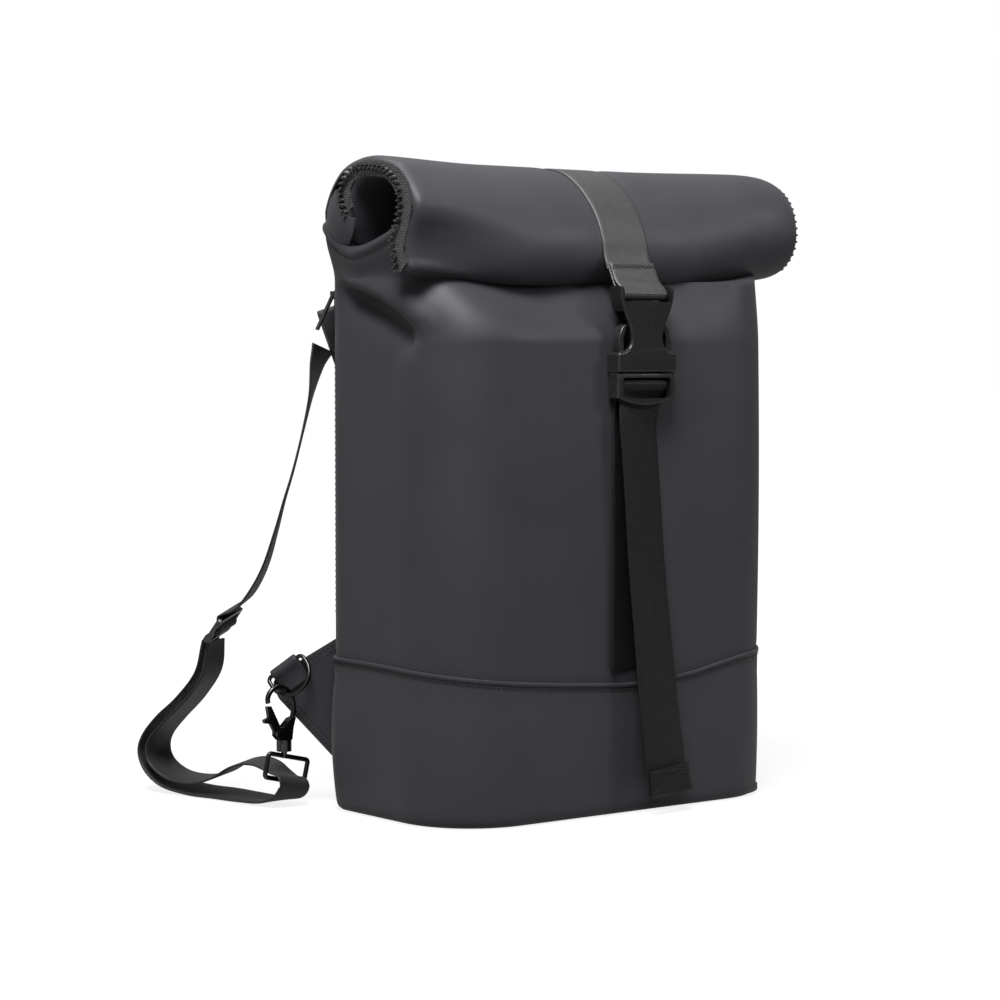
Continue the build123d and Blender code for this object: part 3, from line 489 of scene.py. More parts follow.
# -------------------------------------------------------- rows of stitches and teeth
def row_tree(name, kind):
    """Geometry nodes: one shape repeated along runs, turned to the run and its outward line."""
    tree = bpy.data.node_groups.new(name, "GeometryNodeTree")
    tree.interface.new_socket("Geometry", in_out="INPUT", socket_type="NodeSocketGeometry")
    for label, socket in (("Pitch", FLOAT), ("Size", VECTOR), ("Stagger", FLOAT),
                          ("Material", "NodeSocketMaterial")):
        tree.interface.new_socket(label, in_out="INPUT", socket_type=socket)
    tree.interface.new_socket("Geometry", in_out="OUTPUT", socket_type="NodeSocketGeometry")
    given = tree.nodes.new("NodeGroupInput")
    out = tree.nodes.new("NodeGroupOutput")
    line = node(tree, "GeometryNodeMeshToCurve", {0: given.outputs["Geometry"]})
    spaced = node(tree, "GeometryNodeResampleCurve", {"Curve": line.outputs[0]}, mode="LENGTH")
    tree.links.new(given.outputs["Pitch"], spaced.inputs["Length"])
    outward = node(tree, "GeometryNodeInputNamedAttribute", {"Name": "outward"},
                   data_type="FLOAT_VECTOR")
    run = node(tree, "GeometryNodeInputTangent")
    turn = node(tree, "FunctionNodeAxesToRotation", {
        "Primary Axis": outward.outputs[0], "Secondary Axis": run.outputs[0]},
        primary_axis="Z", secondary_axis="X")
    if kind == "stitch":
        shape = node(tree, "GeometryNodeMeshUVSphere", {"Segments": 8, "Rings": 5, "Radius": 0.5})
    else:
        shape = node(tree, "GeometryNodeMeshCone", {
            "Vertices": 6, "Radius Top": 0.3, "Radius Bottom": 0.5, "Depth": 1.0})
    side = node(tree, "ShaderNodeVectorMath", {0: outward.outputs[0], 1: run.outputs[0]},
                operation="CROSS_PRODUCT")
    index = node(tree, "GeometryNodeInputIndex")
    odd = node(tree, "ShaderNodeMath", {0: index.outputs[0], 1: 2.0}, operation="FLOORED_MODULO")
    swing = node(tree, "ShaderNodeMath", {0: odd.outputs[0], 1: 2.0, 2: -1.0},
                 operation="MULTIPLY_ADD")
    reach = node(tree, "ShaderNodeMath", {0: swing.outputs[0], 1: given.outputs["Stagger"]},
                 operation="MULTIPLY")
    shift = node(tree, "ShaderNodeVectorMath", {0: side.outputs[0], "Scale": reach.outputs[0]},
                 operation="SCALE")
    kept = node(tree, "GeometryNodeCaptureAttribute", {"Geometry": spaced.outputs[0]})
    kept.capture_items.new("VECTOR", "Shift")
    kept.capture_items.new("ROTATION", "Turn")
    tree.links.new(shift.outputs[0], kept.inputs["Shift"])
    tree.links.new(turn.outputs[0], kept.inputs["Turn"])
    spots = node(tree, "GeometryNodeInstanceOnPoints", {
        "Points": kept.outputs[0], "Instance": shape.outputs[0],
        "Rotation": kept.outputs["Turn"], "Scale": given.outputs["Size"]})
    moved = node(tree, "GeometryNodeTranslateInstances", {
        "Instances": spots.outputs[0], "Translation": kept.outputs["Shift"], "Local Space": False})
    real = node(tree, "GeometryNodeRealizeInstances", {0: moved.outputs[0]})
    coat = node(tree, "GeometryNodeSetMaterial", {
        0: real.outputs[0], "Material": given.outputs["Material"]})
    tree.links.new(coat.outputs[0], out.inputs[0])
    return tree


STITCHES, TOOTH_ROW = row_tree("stitch row", "stitch"), row_tree("tooth row", "tooth")


def row_of(name, tree, runs, pitch, size, material, stagger=0.0):
    """Repeat a shape along runs, each a list of points and their outward lines."""
    points, outs, edges = [], [], []
    for line, outward in runs:
        line = np.asarray(line, float)
        outward = np.broadcast_to(np.asarray(outward, float), line.shape)
        first = len(points)
        points += (line * MM).tolist()
        outs += unit(outward).tolist()
        edges += [(first + k, first + k + 1) for k in range(len(line) - 1)]
    mesh = bpy.data.meshes.new(name + " run")
    mesh.from_pydata(points, edges, [])
    facing = mesh.attributes.new("outward", "FLOAT_VECTOR", "POINT")
    facing.data.foreach_set("vector", np.asarray(outs, np.float32).ravel())
    guide = linked(name + " run", mesh, material)
    maker = guide.modifiers.new("row", "NODES")
    maker.node_group = tree
    values = {"Pitch": pitch * MM, "Size": [v * MM for v in size], "Stagger": stagger * MM,
              "Material": material}
    for item in tree.interface.items_tree:
        if item.item_type == "SOCKET" and item.in_out == "INPUT" and item.name in values:
            maker[item.identifier] = values[item.name]
    graph = bpy.context.evaluated_depsgraph_get()
    result = bpy.data.meshes.new_from_object(guide.evaluated_get(graph))
    bpy.data.objects.remove(guide)
    result.name = name
    made = linked(name, result, material)
    for face in result.polygons:
        face.use_smooth = tree is STITCHES
    return made


# -------------------------------------------------------------------------- body
HALF_WIDTH, HALF_DEPTH = 145.0, 72.0
FRONT_ROUND, BACK_ROUND = 56.0, 24.0
LEAN_FROM, SHOULDER, LEAN = 306.0, 346.0, 22.0
PLAN_LEVEL = 50.0                   # a height at which the plan is still plain
# runs measured round the body from the front's middle
FLAT = HALF_WIDTH - FRONT_ROUND
ARC_END = FLAT + FRONT_ROUND * math.pi / 2
SIDE_END = ARC_END + 64.0
CORNER_END = SIDE_END + BACK_ROUND * math.pi / 2
BACK_MIDDLE = CORNER_END + HALF_WIDTH - BACK_ROUND
SLOT_AT = SIDE_END + BACK_ROUND * math.pi / 4
SLOT_HALF, SLOT_FOOT, SLOT_TOP = 4.8, 128.0, 335.0
RIGHT_TRIM, LEFT_EASE = 0.963, 1.013    # the bag stands a little fuller on its left


def outline_at(run, height, grow=0.0):
    """Plan point and outward line of the body at a run measured round from the front's middle."""
    run, height = np.broadcast_arrays(np.asarray(run, float), np.asarray(height, float))
    total = 2 * BACK_MIDDLE
    run = (run + BACK_MIDDLE) % total - BACK_MIDDLE
    hand = np.where(run < 0, -1.0, 1.0)
    way = np.abs(run)
    held = (1 - 0.86 * smoothstep(run, 20, 120) + 0.45 * smoothstep(-run, 20, 70)
            - 0.65 * smoothstep(-run, 85, 150))    # the left leans back most, the right hardly
    lean = LEAN * held * np.clip((height - LEAN_FROM) / (SHOULDER - LEAN_FROM), 0, 1) ** 1.6
    front = -HALF_DEPTH + lean
    centre = front + FRONT_ROUND
    turn = np.clip((way - FLAT) / FRONT_ROUND, 0, math.pi / 2)
    rear_turn = np.clip((way - SIDE_END) / BACK_ROUND, 0, math.pi / 2)
    side_share = np.clip((way - ARC_END) / (SIDE_END - ARC_END), 0, 1)
    x = np.minimum(way, FLAT) + FRONT_ROUND * np.sin(turn)
    y = centre - FRONT_ROUND * np.cos(turn)
    y = np.where(way > ARC_END, centre + side_share * (HALF_DEPTH - BACK_ROUND - centre), y)
    x = np.where(way > SIDE_END, HALF_WIDTH - BACK_ROUND * (1 - np.cos(rear_turn)), x)
    y = np.where(way > SIDE_END, HALF_DEPTH - BACK_ROUND * (1 - np.sin(rear_turn)), y)
    x = np.where(way > CORNER_END, BACK_MIDDLE - way, x)
    nx = np.where(way > SIDE_END, np.cos(rear_turn), np.sin(turn))
    ny = np.where(way > SIDE_END, np.sin(rear_turn), -np.cos(turn))
    x, y = x + grow * nx, y + grow * ny
    x = np.where(hand > 0, x * RIGHT_TRIM, -x * LEFT_EASE)
    return x, y, nx * hand, ny


SEAM_RUNS = (-400, -235, -180, -146.6, -120.9, -78, -37, 5, 49, 84.5, 107.8, 180, 235, 400)
SEAM_HEIGHTS = (100.8, 100.8, 99.8, 97.6, 94.9, 90.6, 87.3, 85.5, 89, 95.2, 98.2, 100.4, 100.8,
                100.8)
seam_fine = eased(list(zip(SEAM_RUNS, SEAM_HEIGHTS, [0] * len(SEAM_RUNS))), 4.0)


def seam_height(run):
    """Height of the band's top edge: it sags across the front."""
    run = (np.asarray(run, float) + BACK_MIDDLE) % (2 * BACK_MIDDLE) - BACK_MIDDLE
    return np.interp(run, seam_fine[:, 0], seam_fine[:, 1])


# the crease the roll presses into the left shoulder: a soft ridge above it, a hollow below
CREASE = ((-146, 56, 349), (-146, 44, 343.5), (-145.5, 30, 338.5), (-145, 10, 333),
          (-144.5, -5, 327.5), (-143, -19, 320.5), (-141.5, -30, 312), (-139, -38, 303.5))
RIDGE, HOLLOW = 8.0, 14.0


def fold_rise(points):
    """How far the leather stands out (or dips) at points near the shoulder crease."""
    flat = points.reshape(-1, 3)
    line = eased(CREASE, 1.5)
    along = unit(np.gradient(line, axis=0))
    share = np.linspace(0, 1, len(line))
    gap = flat[:, None] - line[None]
    far = np.linalg.norm(gap, axis=2)
    nearest = far.argmin(axis=1)
    gap, distance, where = gap[np.arange(len(flat)), nearest], far.min(axis=1), share[nearest]
    above = -gap[:, 1] * -along[nearest, 2] + gap[:, 2] * -along[nearest, 1]
    upper = 0.5 + 0.5 * np.tanh(above / (4.0 + 3.0 * where))
    rise = upper * RIDGE * np.exp(-(distance / 15.0) ** 2)
    rise -= (1 - upper) * HOLLOW * np.exp(-(distance / (10.0 + 6.0 * where)) ** 2)
    fade = smoothstep(where, 0.0, 0.3) * (1 - smoothstep(where, 0.78, 1.0))
    return (rise * fade).reshape(points.shape[:-1])


# the rim under the roll: run round the body, then its plan point and height on the left side
RIM = ((0, 0, -30, 350), (60, 75, -30, 351), (89, 112, -30, 353), (115, 136, -29, 361),
       (138, 149, -27.5, 371.5), (153, 153.5, -21, 375), (168, 154.8, -7, 370),
       (187, 155, 9.8, 365.3), (199, 155.3, 20, 363.4), (212, 155.3, 30, 364),
       (228, 155.5, 43, 369), (240, 155.5, 51, 374), (250, 154.8, 57, 378.5),
       (262, 151, 61.5, 381), (284, 134, 64, 380), (305, 112, 61, 375), (397, 0, 60, 371),
       (430, -34, 60, 371))
rim_fine = eased([(x, y, z, run) for run, x, y, z in RIM], 3.0)
LIP = 4.2                           # half the thickness of the rolled lip


def neck_rows(run, x, y):
    """Rows above the shoulder: the sides rise to a rolled lip, front and back go under the roll."""
    way = (run + BACK_MIDDLE) % (2 * BACK_MIDDLE) - BACK_MIDDLE
    hand = np.where(way < 0, -1.0, 1.0)
    goal = [np.interp(np.abs(way), rim_fine[:, 3], rim_fine[:, k]) for k in range(3)]
    goal_x, goal_y, goal_z = goal[0] * hand, goal[1], goal[2]
    middle_x = np.clip(goal_x, -128, 128)
    into = unit(np.stack([middle_x - goal_x, 14 - goal_y], axis=1) * np.array([1.0, 0.35]))
    wall_x, wall_y = goal_x + into[:, 0] * LIP / 2, goal_y + into[:, 1] * LIP / 2
    rows = []
    for share in np.linspace(0.08, 1, 12):
        wide = share ** 2 * (3 - 2 * share)
        rows.append(np.stack([x + (wall_x - x) * wide, y + (wall_y - y) * wide,
                              SHOULDER + (goal_z - 0.87 * LIP - SHOULDER) * share], axis=1))
    for angle in np.linspace(-0.7, math.pi, 9):
        back = LIP * (1 - math.cos(angle))
        rows.append(np.stack([goal_x + into[:, 0] * back, goal_y + into[:, 1] * back,
                              goal_z + LIP * math.sin(angle)], axis=1))
    for down in (4.0, 9.0, 15.0):
        rows.append(np.stack([goal_x + into[:, 0] * 2 * LIP, goal_y + into[:, 1] * 2 * LIP,
                              goal_z - down], axis=1))
    return rows


def body_skin(name, first, last, columns):
    """One side of the body as a sheet of leather, its ends following the zip slots."""
    rows = []
    shares = np.linspace(0, 1, columns)
    for height in np.concatenate([np.arange(78, 300, 4.0), np.arange(300, SHOULDER + 0.1, 2.0)]):
        opening = SLOT_HALF + 3.0 * smoothstep(height, 270, 320)
        opening *= smoothstep(height, SLOT_FOOT - 12, SLOT_FOOT)
        opening *= 1 - smoothstep(height, SLOT_TOP, SLOT_TOP + 8)
        start, end = first + opening, last - opening
        run = start + (end - start) * shares
        full = 1.3 * np.sin(math.pi * np.clip((height - 86) / 250, 0, 1)) * smoothstep(
            np.minimum(shares, 1 - shares), 0.0, 0.12)
        x, y, nx, ny = outline_at(run, height)
        lower = smoothstep(height, seam_height(run) - 3, seam_height(run) + 6)
        grow = full + 0.7 * lower - 0.7
        x, y = x + nx * grow, y + ny * grow
        rows.append(np.stack([x, y, np.full_like(x, height)], axis=1))
    rows += neck_rows(run, x, y)
    grid = np.array(rows)
    along = np.gradient(grid, axis=1)
    up = np.gradient(grid, axis=0)
    facing = unit(np.cross(along, up))
    grid += facing * fold_rise(grid)[..., None]
    return sheet_of(name, grid, 1.9, BODY_LEATHER, -1)


front_skin = body_skin("front_leather", -SLOT_AT, SLOT_AT, 230)
back_skin = body_skin("back_leather", SLOT_AT, 2 * BACK_MIDDLE - SLOT_AT, 130)
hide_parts("front_panel", "neck")
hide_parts("back_panel")

# lining: a cloth bag inside, drawn in at the top where the shoulders are creased
inner_runs = np.linspace(-BACK_MIDDLE, BACK_MIDDLE, 160, endpoint=False)
rows = []
for height in np.arange(10, 341, 6.0):
    x, y, nx, ny = outline_at(inner_runs, height, -5.0 - 24.0 * smoothstep(height, 262, 296))
    rows.append(np.stack([x, y, np.full_like(x, height)], axis=1))
lining_cloth = sheet_of("lining_cloth", np.array(rows), 0.6, LINING, -1, around=True)
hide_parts("lining")

# base band: a shallow tray of leather whose top edge folds over the body
runs = np.linspace(-BACK_MIDDLE, BACK_MIDDLE, 300, endpoint=False)
tops = seam_height(runs)
x, y, nx, ny = outline_at(runs, PLAN_LEVEL)
UNDER = ((60, 0.4), (30, 0.3), (12, 0.2), (6, 0.3), (3.4, 0.9), (1.4, 2.4), (0.4, 4.6), (-0.1, 7.5))
TOP_FOLD = ((1.45, -2.0), (1.7, -0.9), (1.45, 0.1), (0.6, 0.5), (-0.4, 0.1), (-0.8, -1.5),
            (-0.9, -6))
rows = [np.stack([x - nx * inset, y - ny * inset, np.full_like(x, height)], axis=1)
        for inset, height in UNDER]
for share in np.linspace(0.05, 0.97, 24):
    corner_swell = 2.0 * math.sin(math.pi * min(share * 1.15, 1)) * smoothstep(-runs, 200, 235)
    swell = 0.2 + 0.8 * math.sin(math.pi * share) + 0.5 * smoothstep(share, 0.8, 1.0) + corner_swell
    rows.append(np.stack([x + nx * swell, y + ny * swell, 7.5 + (tops - 7.5) * share], axis=1))
rows += [np.stack([x + nx * out, y + ny * out, tops + drop], axis=1) for out, drop in TOP_FOLD]
band = sheet_of("base_leather", np.array(rows), 1.0, BAND_LEATHER, -1, around=True)
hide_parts("base_band", "base_sheet")
x, y, nx, ny = outline_at(np.append(runs, runs[:1]), PLAN_LEVEL)
tops_round = np.append(tops, tops[:1])
seam_line = np.stack([x + nx * 1.25, y + ny * 1.25, tops_round - 3.6], axis=1)
row_of("band_stitches", STITCHES, [(seam_line, np.stack([nx, ny, 0 * nx], axis=1))],
       3.3, (2.7, 0.75, 0.5), THREAD)

# underside panel
x, y, nx, ny = outline_at(inner_runs, PLAN_LEVEL)
points = np.vstack([np.stack([x - nx * 8, y - ny * 8, np.full_like(x, level)], axis=1)
                    for level in (2.6, 0.9)])
count = len(x)
faces = [tuple(range(count)), tuple(range(count, 2 * count))[::-1]]
faces += [(k, (k + 1) % count, count + (k + 1) % count, count + k) for k in range(count)]
made_mesh("underside_leather", points, faces, TRIM_LEATHER)

# -------------------------------------------------------------------------- roll
ROLL_LEFT = ((40, 353), (43, 362), (48.5, 371), (53.5, 380), (54.5, 388), (50.5, 398.6),
             (43, 408.6), (33, 416.5), (18, 421), (2, 421.8), (-12, 419), (-23, 415.5),
             (-32, 408.6), (-40, 401), (-46, 392.6), (-46, 385), (-42, 376.5), (-39, 368.5),
             (-38, 359), (-39, 352.5), (-35, 350.5), (-30.5, 355), (-30, 363), (-31.5, 374))
ROLL_MIDDLE = ((50.6, 351.5), (53, 361), (56.5, 371), (57.5, 382), (55, 390), (49.5, 398.5),
               (41.5, 406.5), (31, 412.8), (17, 417.2), (2, 418.8), (-12, 417.6), (-24, 413.6),
               (-35, 407), (-45, 398), (-53, 388), (-58.5, 378), (-61, 368), (-60.5, 358),
               (-56.5, 349.5), (-49, 344.6), (-40, 346), (-35, 352), (-34.5, 361), (-35, 373))
ROLL_RIGHT = ((40, 353), (43, 362), (49, 371), (54.5, 381), (55.5, 391), (51, 400), (42, 409.5),
              (31, 416), (16, 419.6), (0, 420.4), (-14, 420), (-30, 418), (-42, 412.5), (-51, 404),
              (-56.5, 393), (-58.5, 380.5), (-57, 371), (-52.5, 362.5), (-45, 355.5), (-35, 351.5),
              (-26, 351.5), (-22, 357), (-23, 366), (-27, 377))


def profile(keys):
    """A roll profile as 110 points, so many between each two matching key points."""
    keys = np.array(keys, float)
    padded = with_ends(keys)
    at = np.linspace(0, len(keys) - 1, 110)
    index = np.minimum(at.astype(int), len(keys) - 2)
    return between(*(padded[index + k] for k in range(4)), (at - index)[:, None])


roll_left, roll_middle, roll_right = profile(ROLL_LEFT), profile(ROLL_MIDDLE), profile(ROLL_RIGHT)


def roll_at(x):
    """The roll's outer profile across the bag: pressed in the middle by the strap."""
    to_left = smoothstep(-x, 75, 152)
    to_right = smoothstep(x, 40, 150)
    return roll_middle + (roll_left - roll_middle) * to_left + (roll_right - roll_middle) * to_right


def inward(line):
    """Unit lines pointing into the roll from its outer profile, in the Y-Z plane."""
    along = unit(np.gradient(line, axis=0))
    return np.stack([-along[:, 1], along[:, 0]], axis=1)


def roll_end_inset(x):
    """The leather rounds inwards at its two open ends, softly on the right."""
    start, wide, deep = (149, 5.5, 3.4) if x < 0 else (132, 26.5, 5.5)
    past = np.clip((np.abs(x) - start) / wide, 0, 1)
    return deep * (1 - math.sqrt(max(1 - past ** 2, 0)))


spans = np.concatenate([[-154.5, -154.3, -153.6, -152.6, -151.2, -149.5],
                        np.linspace(-147, 147, 108), [149.5, 151.8, 153.8, 155.6, 157.2, 158]])
rows = []
for x in spans:
    line = roll_at(x)
    pinch = 1.3 * math.exp(-(max(abs(x) - 19, 0) / 7.0) ** 2)
    into = inward(line)
    line = line + into * (roll_end_inset(x) + pinch)
    foot = (1 - smoothstep(line[:, 1], 374, 390)) * smoothstep(line[:, 0], 0, 30)
    rows.append(np.column_stack([x * (1 - 0.06 * foot), line]))
roll_skin = sheet_of("roll_leather", np.array(rows), 2.2, ROLL_LEATHER, 1)
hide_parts("roll_top")

CORE = ((-26, 358), (-26, 368), (-27.5, 378), (-29, 387), (-28, 396), (-23, 403), (-15, 408.5),
        (-6, 411.2), (4, 411.6), (13, 409), (19.5, 403.5), (23, 396), (25, 388), (27, 380),
        (29.5, 372), (31, 364), (29, 356), (18, 352), (2, 351), (-16, 352))
core_line = eased([(y, z, 0) for y, z in CORE] + [CORE[0] + (0,)], 2.2)[:-1, :2]
centre = core_line.mean(axis=0)
rows = []
for x in np.concatenate([[-156, -155.7, -155, -153.5], np.linspace(-150, 150, 40),
                         [153.5, 155, 155.7, 156]]):
    flare = 1.6 * (1 - math.sqrt(max(1 - np.clip((abs(x) - 152) / 4, 0, 1) ** 2, 0)))
    line = core_line + unit(core_line - centre) * (flare - 0.2 * math.sin(x / 23.0))
    tucked = 1 - 0.11 * smoothstep(-line[:, 1], -382, -358)
    rows.append(np.column_stack([x * tucked, line]))
sheet_of("roll_core_leather", np.array(rows), 1.8, ROLL_LEATHER, 1, around=True)

# a near-black sheet of cloth folded across the hollow roll, well inside each end: painted shade
# that darkens the roll's hollow, far darker than the bag's own lining cloth
for side, sign in (("left", -1), ("right", 1)):
    rows = []
    for share in (1.0, 0.93, 0.8, 0.6, 0.4, 0.2, 0.02):
        line = centre + (core_line - centre) * share
        inset = sign * (104 - 16 * (1 - share ** 2))
        rows.append(np.column_stack([np.full(len(line), inset), line]))
    sheet_of(f"roll_lining_{side}", np.array(rows), 1.0, ROLL_SHADE_CLOTH, sign, around=True)

# a leather gusset tucked behind the lip at each end
GUSSET_FOOT = ((-146, 55, 366), (-145, 49, 361), (-144, 44, 358), (-144, 39, 357), (-143, 34, 356))
GUSSET_TOP = ((-155, 39, 403.5), (-156.8, 35, 396), (-157, 30, 389), (-156, 25, 386),
              (-155, 18.6, 384.3))
GUSSET_REAR = ((-146, 55, 366), (-150, 55, 378), (-152.5, 54.5, 388), (-154.3, 47.5, 397),
               (-155, 39, 403.5))
GUSSET_FRONT = ((-143, 34, 356), (-150, 33, 366), (-153, 27, 371), (-154.6, 20.3, 377.5),
                (-155, 18.6, 384.3))


def counted(line, count):
    """A line at so many even points."""
    marks = np.linspace(0, len(line) - 1, count)
    return np.column_stack([np.interp(marks, np.arange(len(line)), line[:, k]) for k in range(3)])


def patch(foot, top, left, right):
    """A curved patch of leather stretched between four edges, bulging outwards a little."""
    count, bulge = 18, 1.2
    foot, top, left, right = (counted(eased(edge, 1.5), count) for edge in (foot, top, left, right))
    u = np.linspace(0, 1, count)[:, None, None]
    v = np.linspace(0, 1, count)[None, :, None]
    grid = (1 - u) * foot[None] + u * top[None] + (1 - v) * left[:, None] + v * right[:, None]
    grid -= ((1 - u) * (1 - v) * foot[0] + (1 - u) * v * foot[-1]
             + u * (1 - v) * top[0] + u * v * top[-1])
    grid[..., 0] -= bulge * (np.sin(math.pi * u) * np.sin(math.pi * v))[..., 0]
    return grid


gusset = patch(GUSSET_FOOT, GUSSET_TOP, GUSSET_REAR, GUSSET_FRONT)
sheet_of("left_gusset_leather", gusset, 2.0, ROLL_LEATHER, 1)
sheet_of("right_gusset_leather", mirrored(gusset), 2.0, ROLL_LEATHER, -1)

# end zips of the roll: tape round each open end, with staggered teeth
ZIP_LEFT = ((-34, 352), (-30.5, 357), (-29, 363), (-31, 370), (-34, 378.5), (-37, 386.5),
            (-37.5, 394.6), (-34.5, 402.5), (-27.5, 409), (-17.6, 413), (-5, 415.2), (9.4, 415.8),
            (20.7, 412.5), (27, 406.6), (28, 399.3), (26.5, 393), (24.5, 387.5))
TEETH_LEFT = ((-27, 350), (-27.4, 357), (-24, 366), (-24.5, 373), (-30, 382), (-32.2, 394),
              (-28.5, 405), (-17.4, 413), (-0.2, 416.5), (17, 416), (27.5, 410), (32.5, 402),
              (29.5, 393), (25.5, 386.5))
zip_left = eased([(-156.6, y, z) for y, z in ZIP_LEFT], 1.5)
right_line = roll_at(156.0)
right_line = (right_line + inward(right_line) * 10.5)[14:]
zip_right = eased([(157.0, y, z) for y, z in right_line[::5]], 1.5)
right_teeth = right_line - inward(right_line) * 5.6
teeth_left = eased([(-157.6, y, z) for y, z in TEETH_LEFT], 1.5)
teeth_right = eased([(158.6, y, z) for y, z in right_teeth[::5]], 1.5)
for side, line, teeth_line, sign in (("left", zip_left, teeth_left, -1),
                                     ("right", zip_right, teeth_right, 1)):
    along = unit(np.gradient(line, axis=0))
    stations = [(tuple(p), (0.0, -a[2], a[1])) for p, a in zip(line[::3], along[::3])]
    tape = webbing(f"roll_zip_tape_{side}", stations, 10.5, 1.0, TAPE)
    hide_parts(f"roll_zip_{side}")
    row_of(f"roll_zip_teeth_{side}", TOOTH_ROW, [(teeth_line, (sign, 0, 0))], 2.2,
           (2.5, 3.4, 2.4), TEETH, stagger=1.1)

# --------------------------------------------------------------------- side zips
CORNER_OUT = np.array([-math.sqrt(0.5), math.sqrt(0.5), 0.0])    # the left back corner's way out
CORNER_MIDDLE = np.array([-115.0, 42.0, 0.0])
ZIP_FACE, TOOTH_STAND = 29.4, 2.4   # out from the corner's middle to the zip, and to its teeth


def recoated(cad_node, material):
    """Give a hard or hidden part that stays as it is its own finish."""
    materials = frame["nodes"][cad_node].data.materials
    materials.clear()
    materials.append(material)


for side, sign in SIDES:
    hand = np.array([sign, 1, 1])
    direction = CORNER_OUT * hand
    base = (CORNER_MIDDLE + CORNER_OUT * ZIP_FACE) * hand
    run = np.array([base + (0, 0, z) for z in np.linspace(130, 326, 60)])
    teeth_line = run + direction * TOOTH_STAND
    side_teeth = row_of(f"side_teeth_{side}", TOOTH_ROW, [(teeth_line, direction)], 1.9,
                        (1.9, 3.4, 2.6), TEETH, stagger=1.1)
    recoated(f"side_zip_tape_{side}", TAPE)
    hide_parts(f"side_zip_teeth_{side}")
    refined(f"zip_slider_{side}", f"slider_{side}_metal", GUNMETAL, bevel=0.35)
    refined(f"zip_pull_{side}", f"pull_{side}_metal", GUNMETAL, bevel=0.3)

# ------------------------------------------------------------------ closing strap
level = (1.0, 0.0, 0.0)             # a line straight across the bag
middle_profile = roll_middle + inward(roll_middle) * -1.3
over = [(0.0, y, z) for y, z in middle_profile[14:80:6]]
CLOSING = [(0, 73.6, 296), (0, 73.6, 325), (0, 73.2, 345), (0, 68, 357)] + over + [
    (0, -62.6, 367), (0, -63.6, 362), (0, -65.2, 357.5), (0, -66.8, 353.5)]
closing = webbing("closing_strap_web", [(p, level) for p in CLOSING], 38.0, 1.6, CLOSING_WEB_PAINTED_SHEEN)
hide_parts("closing_strap")
LOOP = [(0, -68.6, 357.2), (0, -69.4, 355.4), (0, -70.6, 353), (0, -74.0, 346), (0, -78.9, 341.4),
        (0, -82.2, 338), (0, -81.6, 334.9), (0, -79, 333.8), (0, -76.2, 335.2), (0, -74.8, 339.5),
        (0, -71.5, 346), (0, -68.6, 352), (0, -66.2, 357.5)]
loop = webbing("buckle_loop_web", [(p, level) for p in LOOP], 37.6, 1.4, CLOSING_WEB_PAINTED_SHEEN, step=1.5)
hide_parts("buckle_loop")


def turned(degrees):
    """Line across a strap turned about the vertical."""
    return (math.cos(math.radians(degrees)), math.sin(math.radians(degrees)), 0.0)


TAIL = [((-2.5, -73.2, 96), turned(2)), ((-3, -73.4, 120), turned(3)),
        ((-3, -74.0, 160), turned(4)), ((-3, -74.4, 220), turned(5)),
        ((-2, -74.0, 255), turned(3)), ((0, -74.4, 271), level), ((0, -75.7, 278), level),
        ((0, -77.2, 281.6), level), ((0, -80, 282.2), level), ((0, -82.2, 280), level),
        ((0, -81.6, 276.8), level), ((0, -79.4, 274.0), turned(2)),
        ((-0.6, -78.2, 270.5), turned(4)), ((-1.6, -78.0, 264), turned(8)),
        ((-2.4, -78.2, 252), turned(12)), ((-0.8, -78.4, 232), turned(13)),
        ((1.6, -78.8, 200), turned(13)), ((3.6, -79.2, 170), turned(12.5)),
        ((6.0, -80.2, 140), turned(12)), ((8.4, -81.8, 108), turned(11)),
        ((10.6, -83.6, 76), turned(9.5)), ((13.6, -85.8, 44), turned(8)),
        ((16.6, -87.6, 16), turned(6))]
tail = webbing("adjusting_strap_web", TAIL, 38.0, 1.6, TAIL_WEB, cup=-0.5)
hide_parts("adjusting_strap")
HEM = [((15.2, -89.3, 31), turned(7)), ((16.2, -89.9, 20), turned(6)),
       ((16.8, -89.6, 14.6), turned(6)), ((16.9, -88.6, 13.8), turned(6))]
webbing("tail_hem_web", HEM, 37.6, 1.4, TAIL_WEB, step=1.5, cup=-0.5)

# ---------------------------------------------------------------- shoulder straps
WEB_TURN, WEB_OFFSET = math.radians(15.0), -132.0    # the upright plane of the strap's loop


def loop_point(run, height, aside=0.0):
    """A point of the upright plane that the strap's loop lies in."""
    offset = WEB_OFFSET + aside
    return (offset * math.cos(WEB_TURN) - run * math.sin(WEB_TURN),
            offset * math.sin(WEB_TURN) + run * math.cos(WEB_TURN), height)


def across(heading, tilt):
    """Line across the webbing, from its heading and its tilt out of level in degrees."""
    flat = math.cos(math.radians(tilt))
    return (flat * math.cos(math.radians(heading)), flat * math.sin(math.radians(heading)),
            math.sin(math.radians(tilt)))


glide_middle = np.array(loop_point(186.5, 117))
glide_along = unit(np.array(loop_point(193, 103)) - np.array(loop_point(171, 129)))
glide_side = np.array(across(24, 18))
glide_side = unit(glide_side - glide_along * glide_side.dot(glide_along))
glide_face = np.cross(glide_side, glide_along)
GLIDE_WIRE, GLIDE_SLOT = 3.2, 6.0
GLIDE_OFF = GLIDE_WIRE / 2 + 0.8 + 0.3    # half the wire, half the webbing and a clearance
GLIDE_HALF = GLIDE_SLOT + 1.5 * GLIDE_WIRE


def glide_station(down, out):
    """A station at the tri-glide: down along it, and out of its face."""
    return tuple(glide_middle + glide_along * down + glide_face * out), tuple(glide_side)


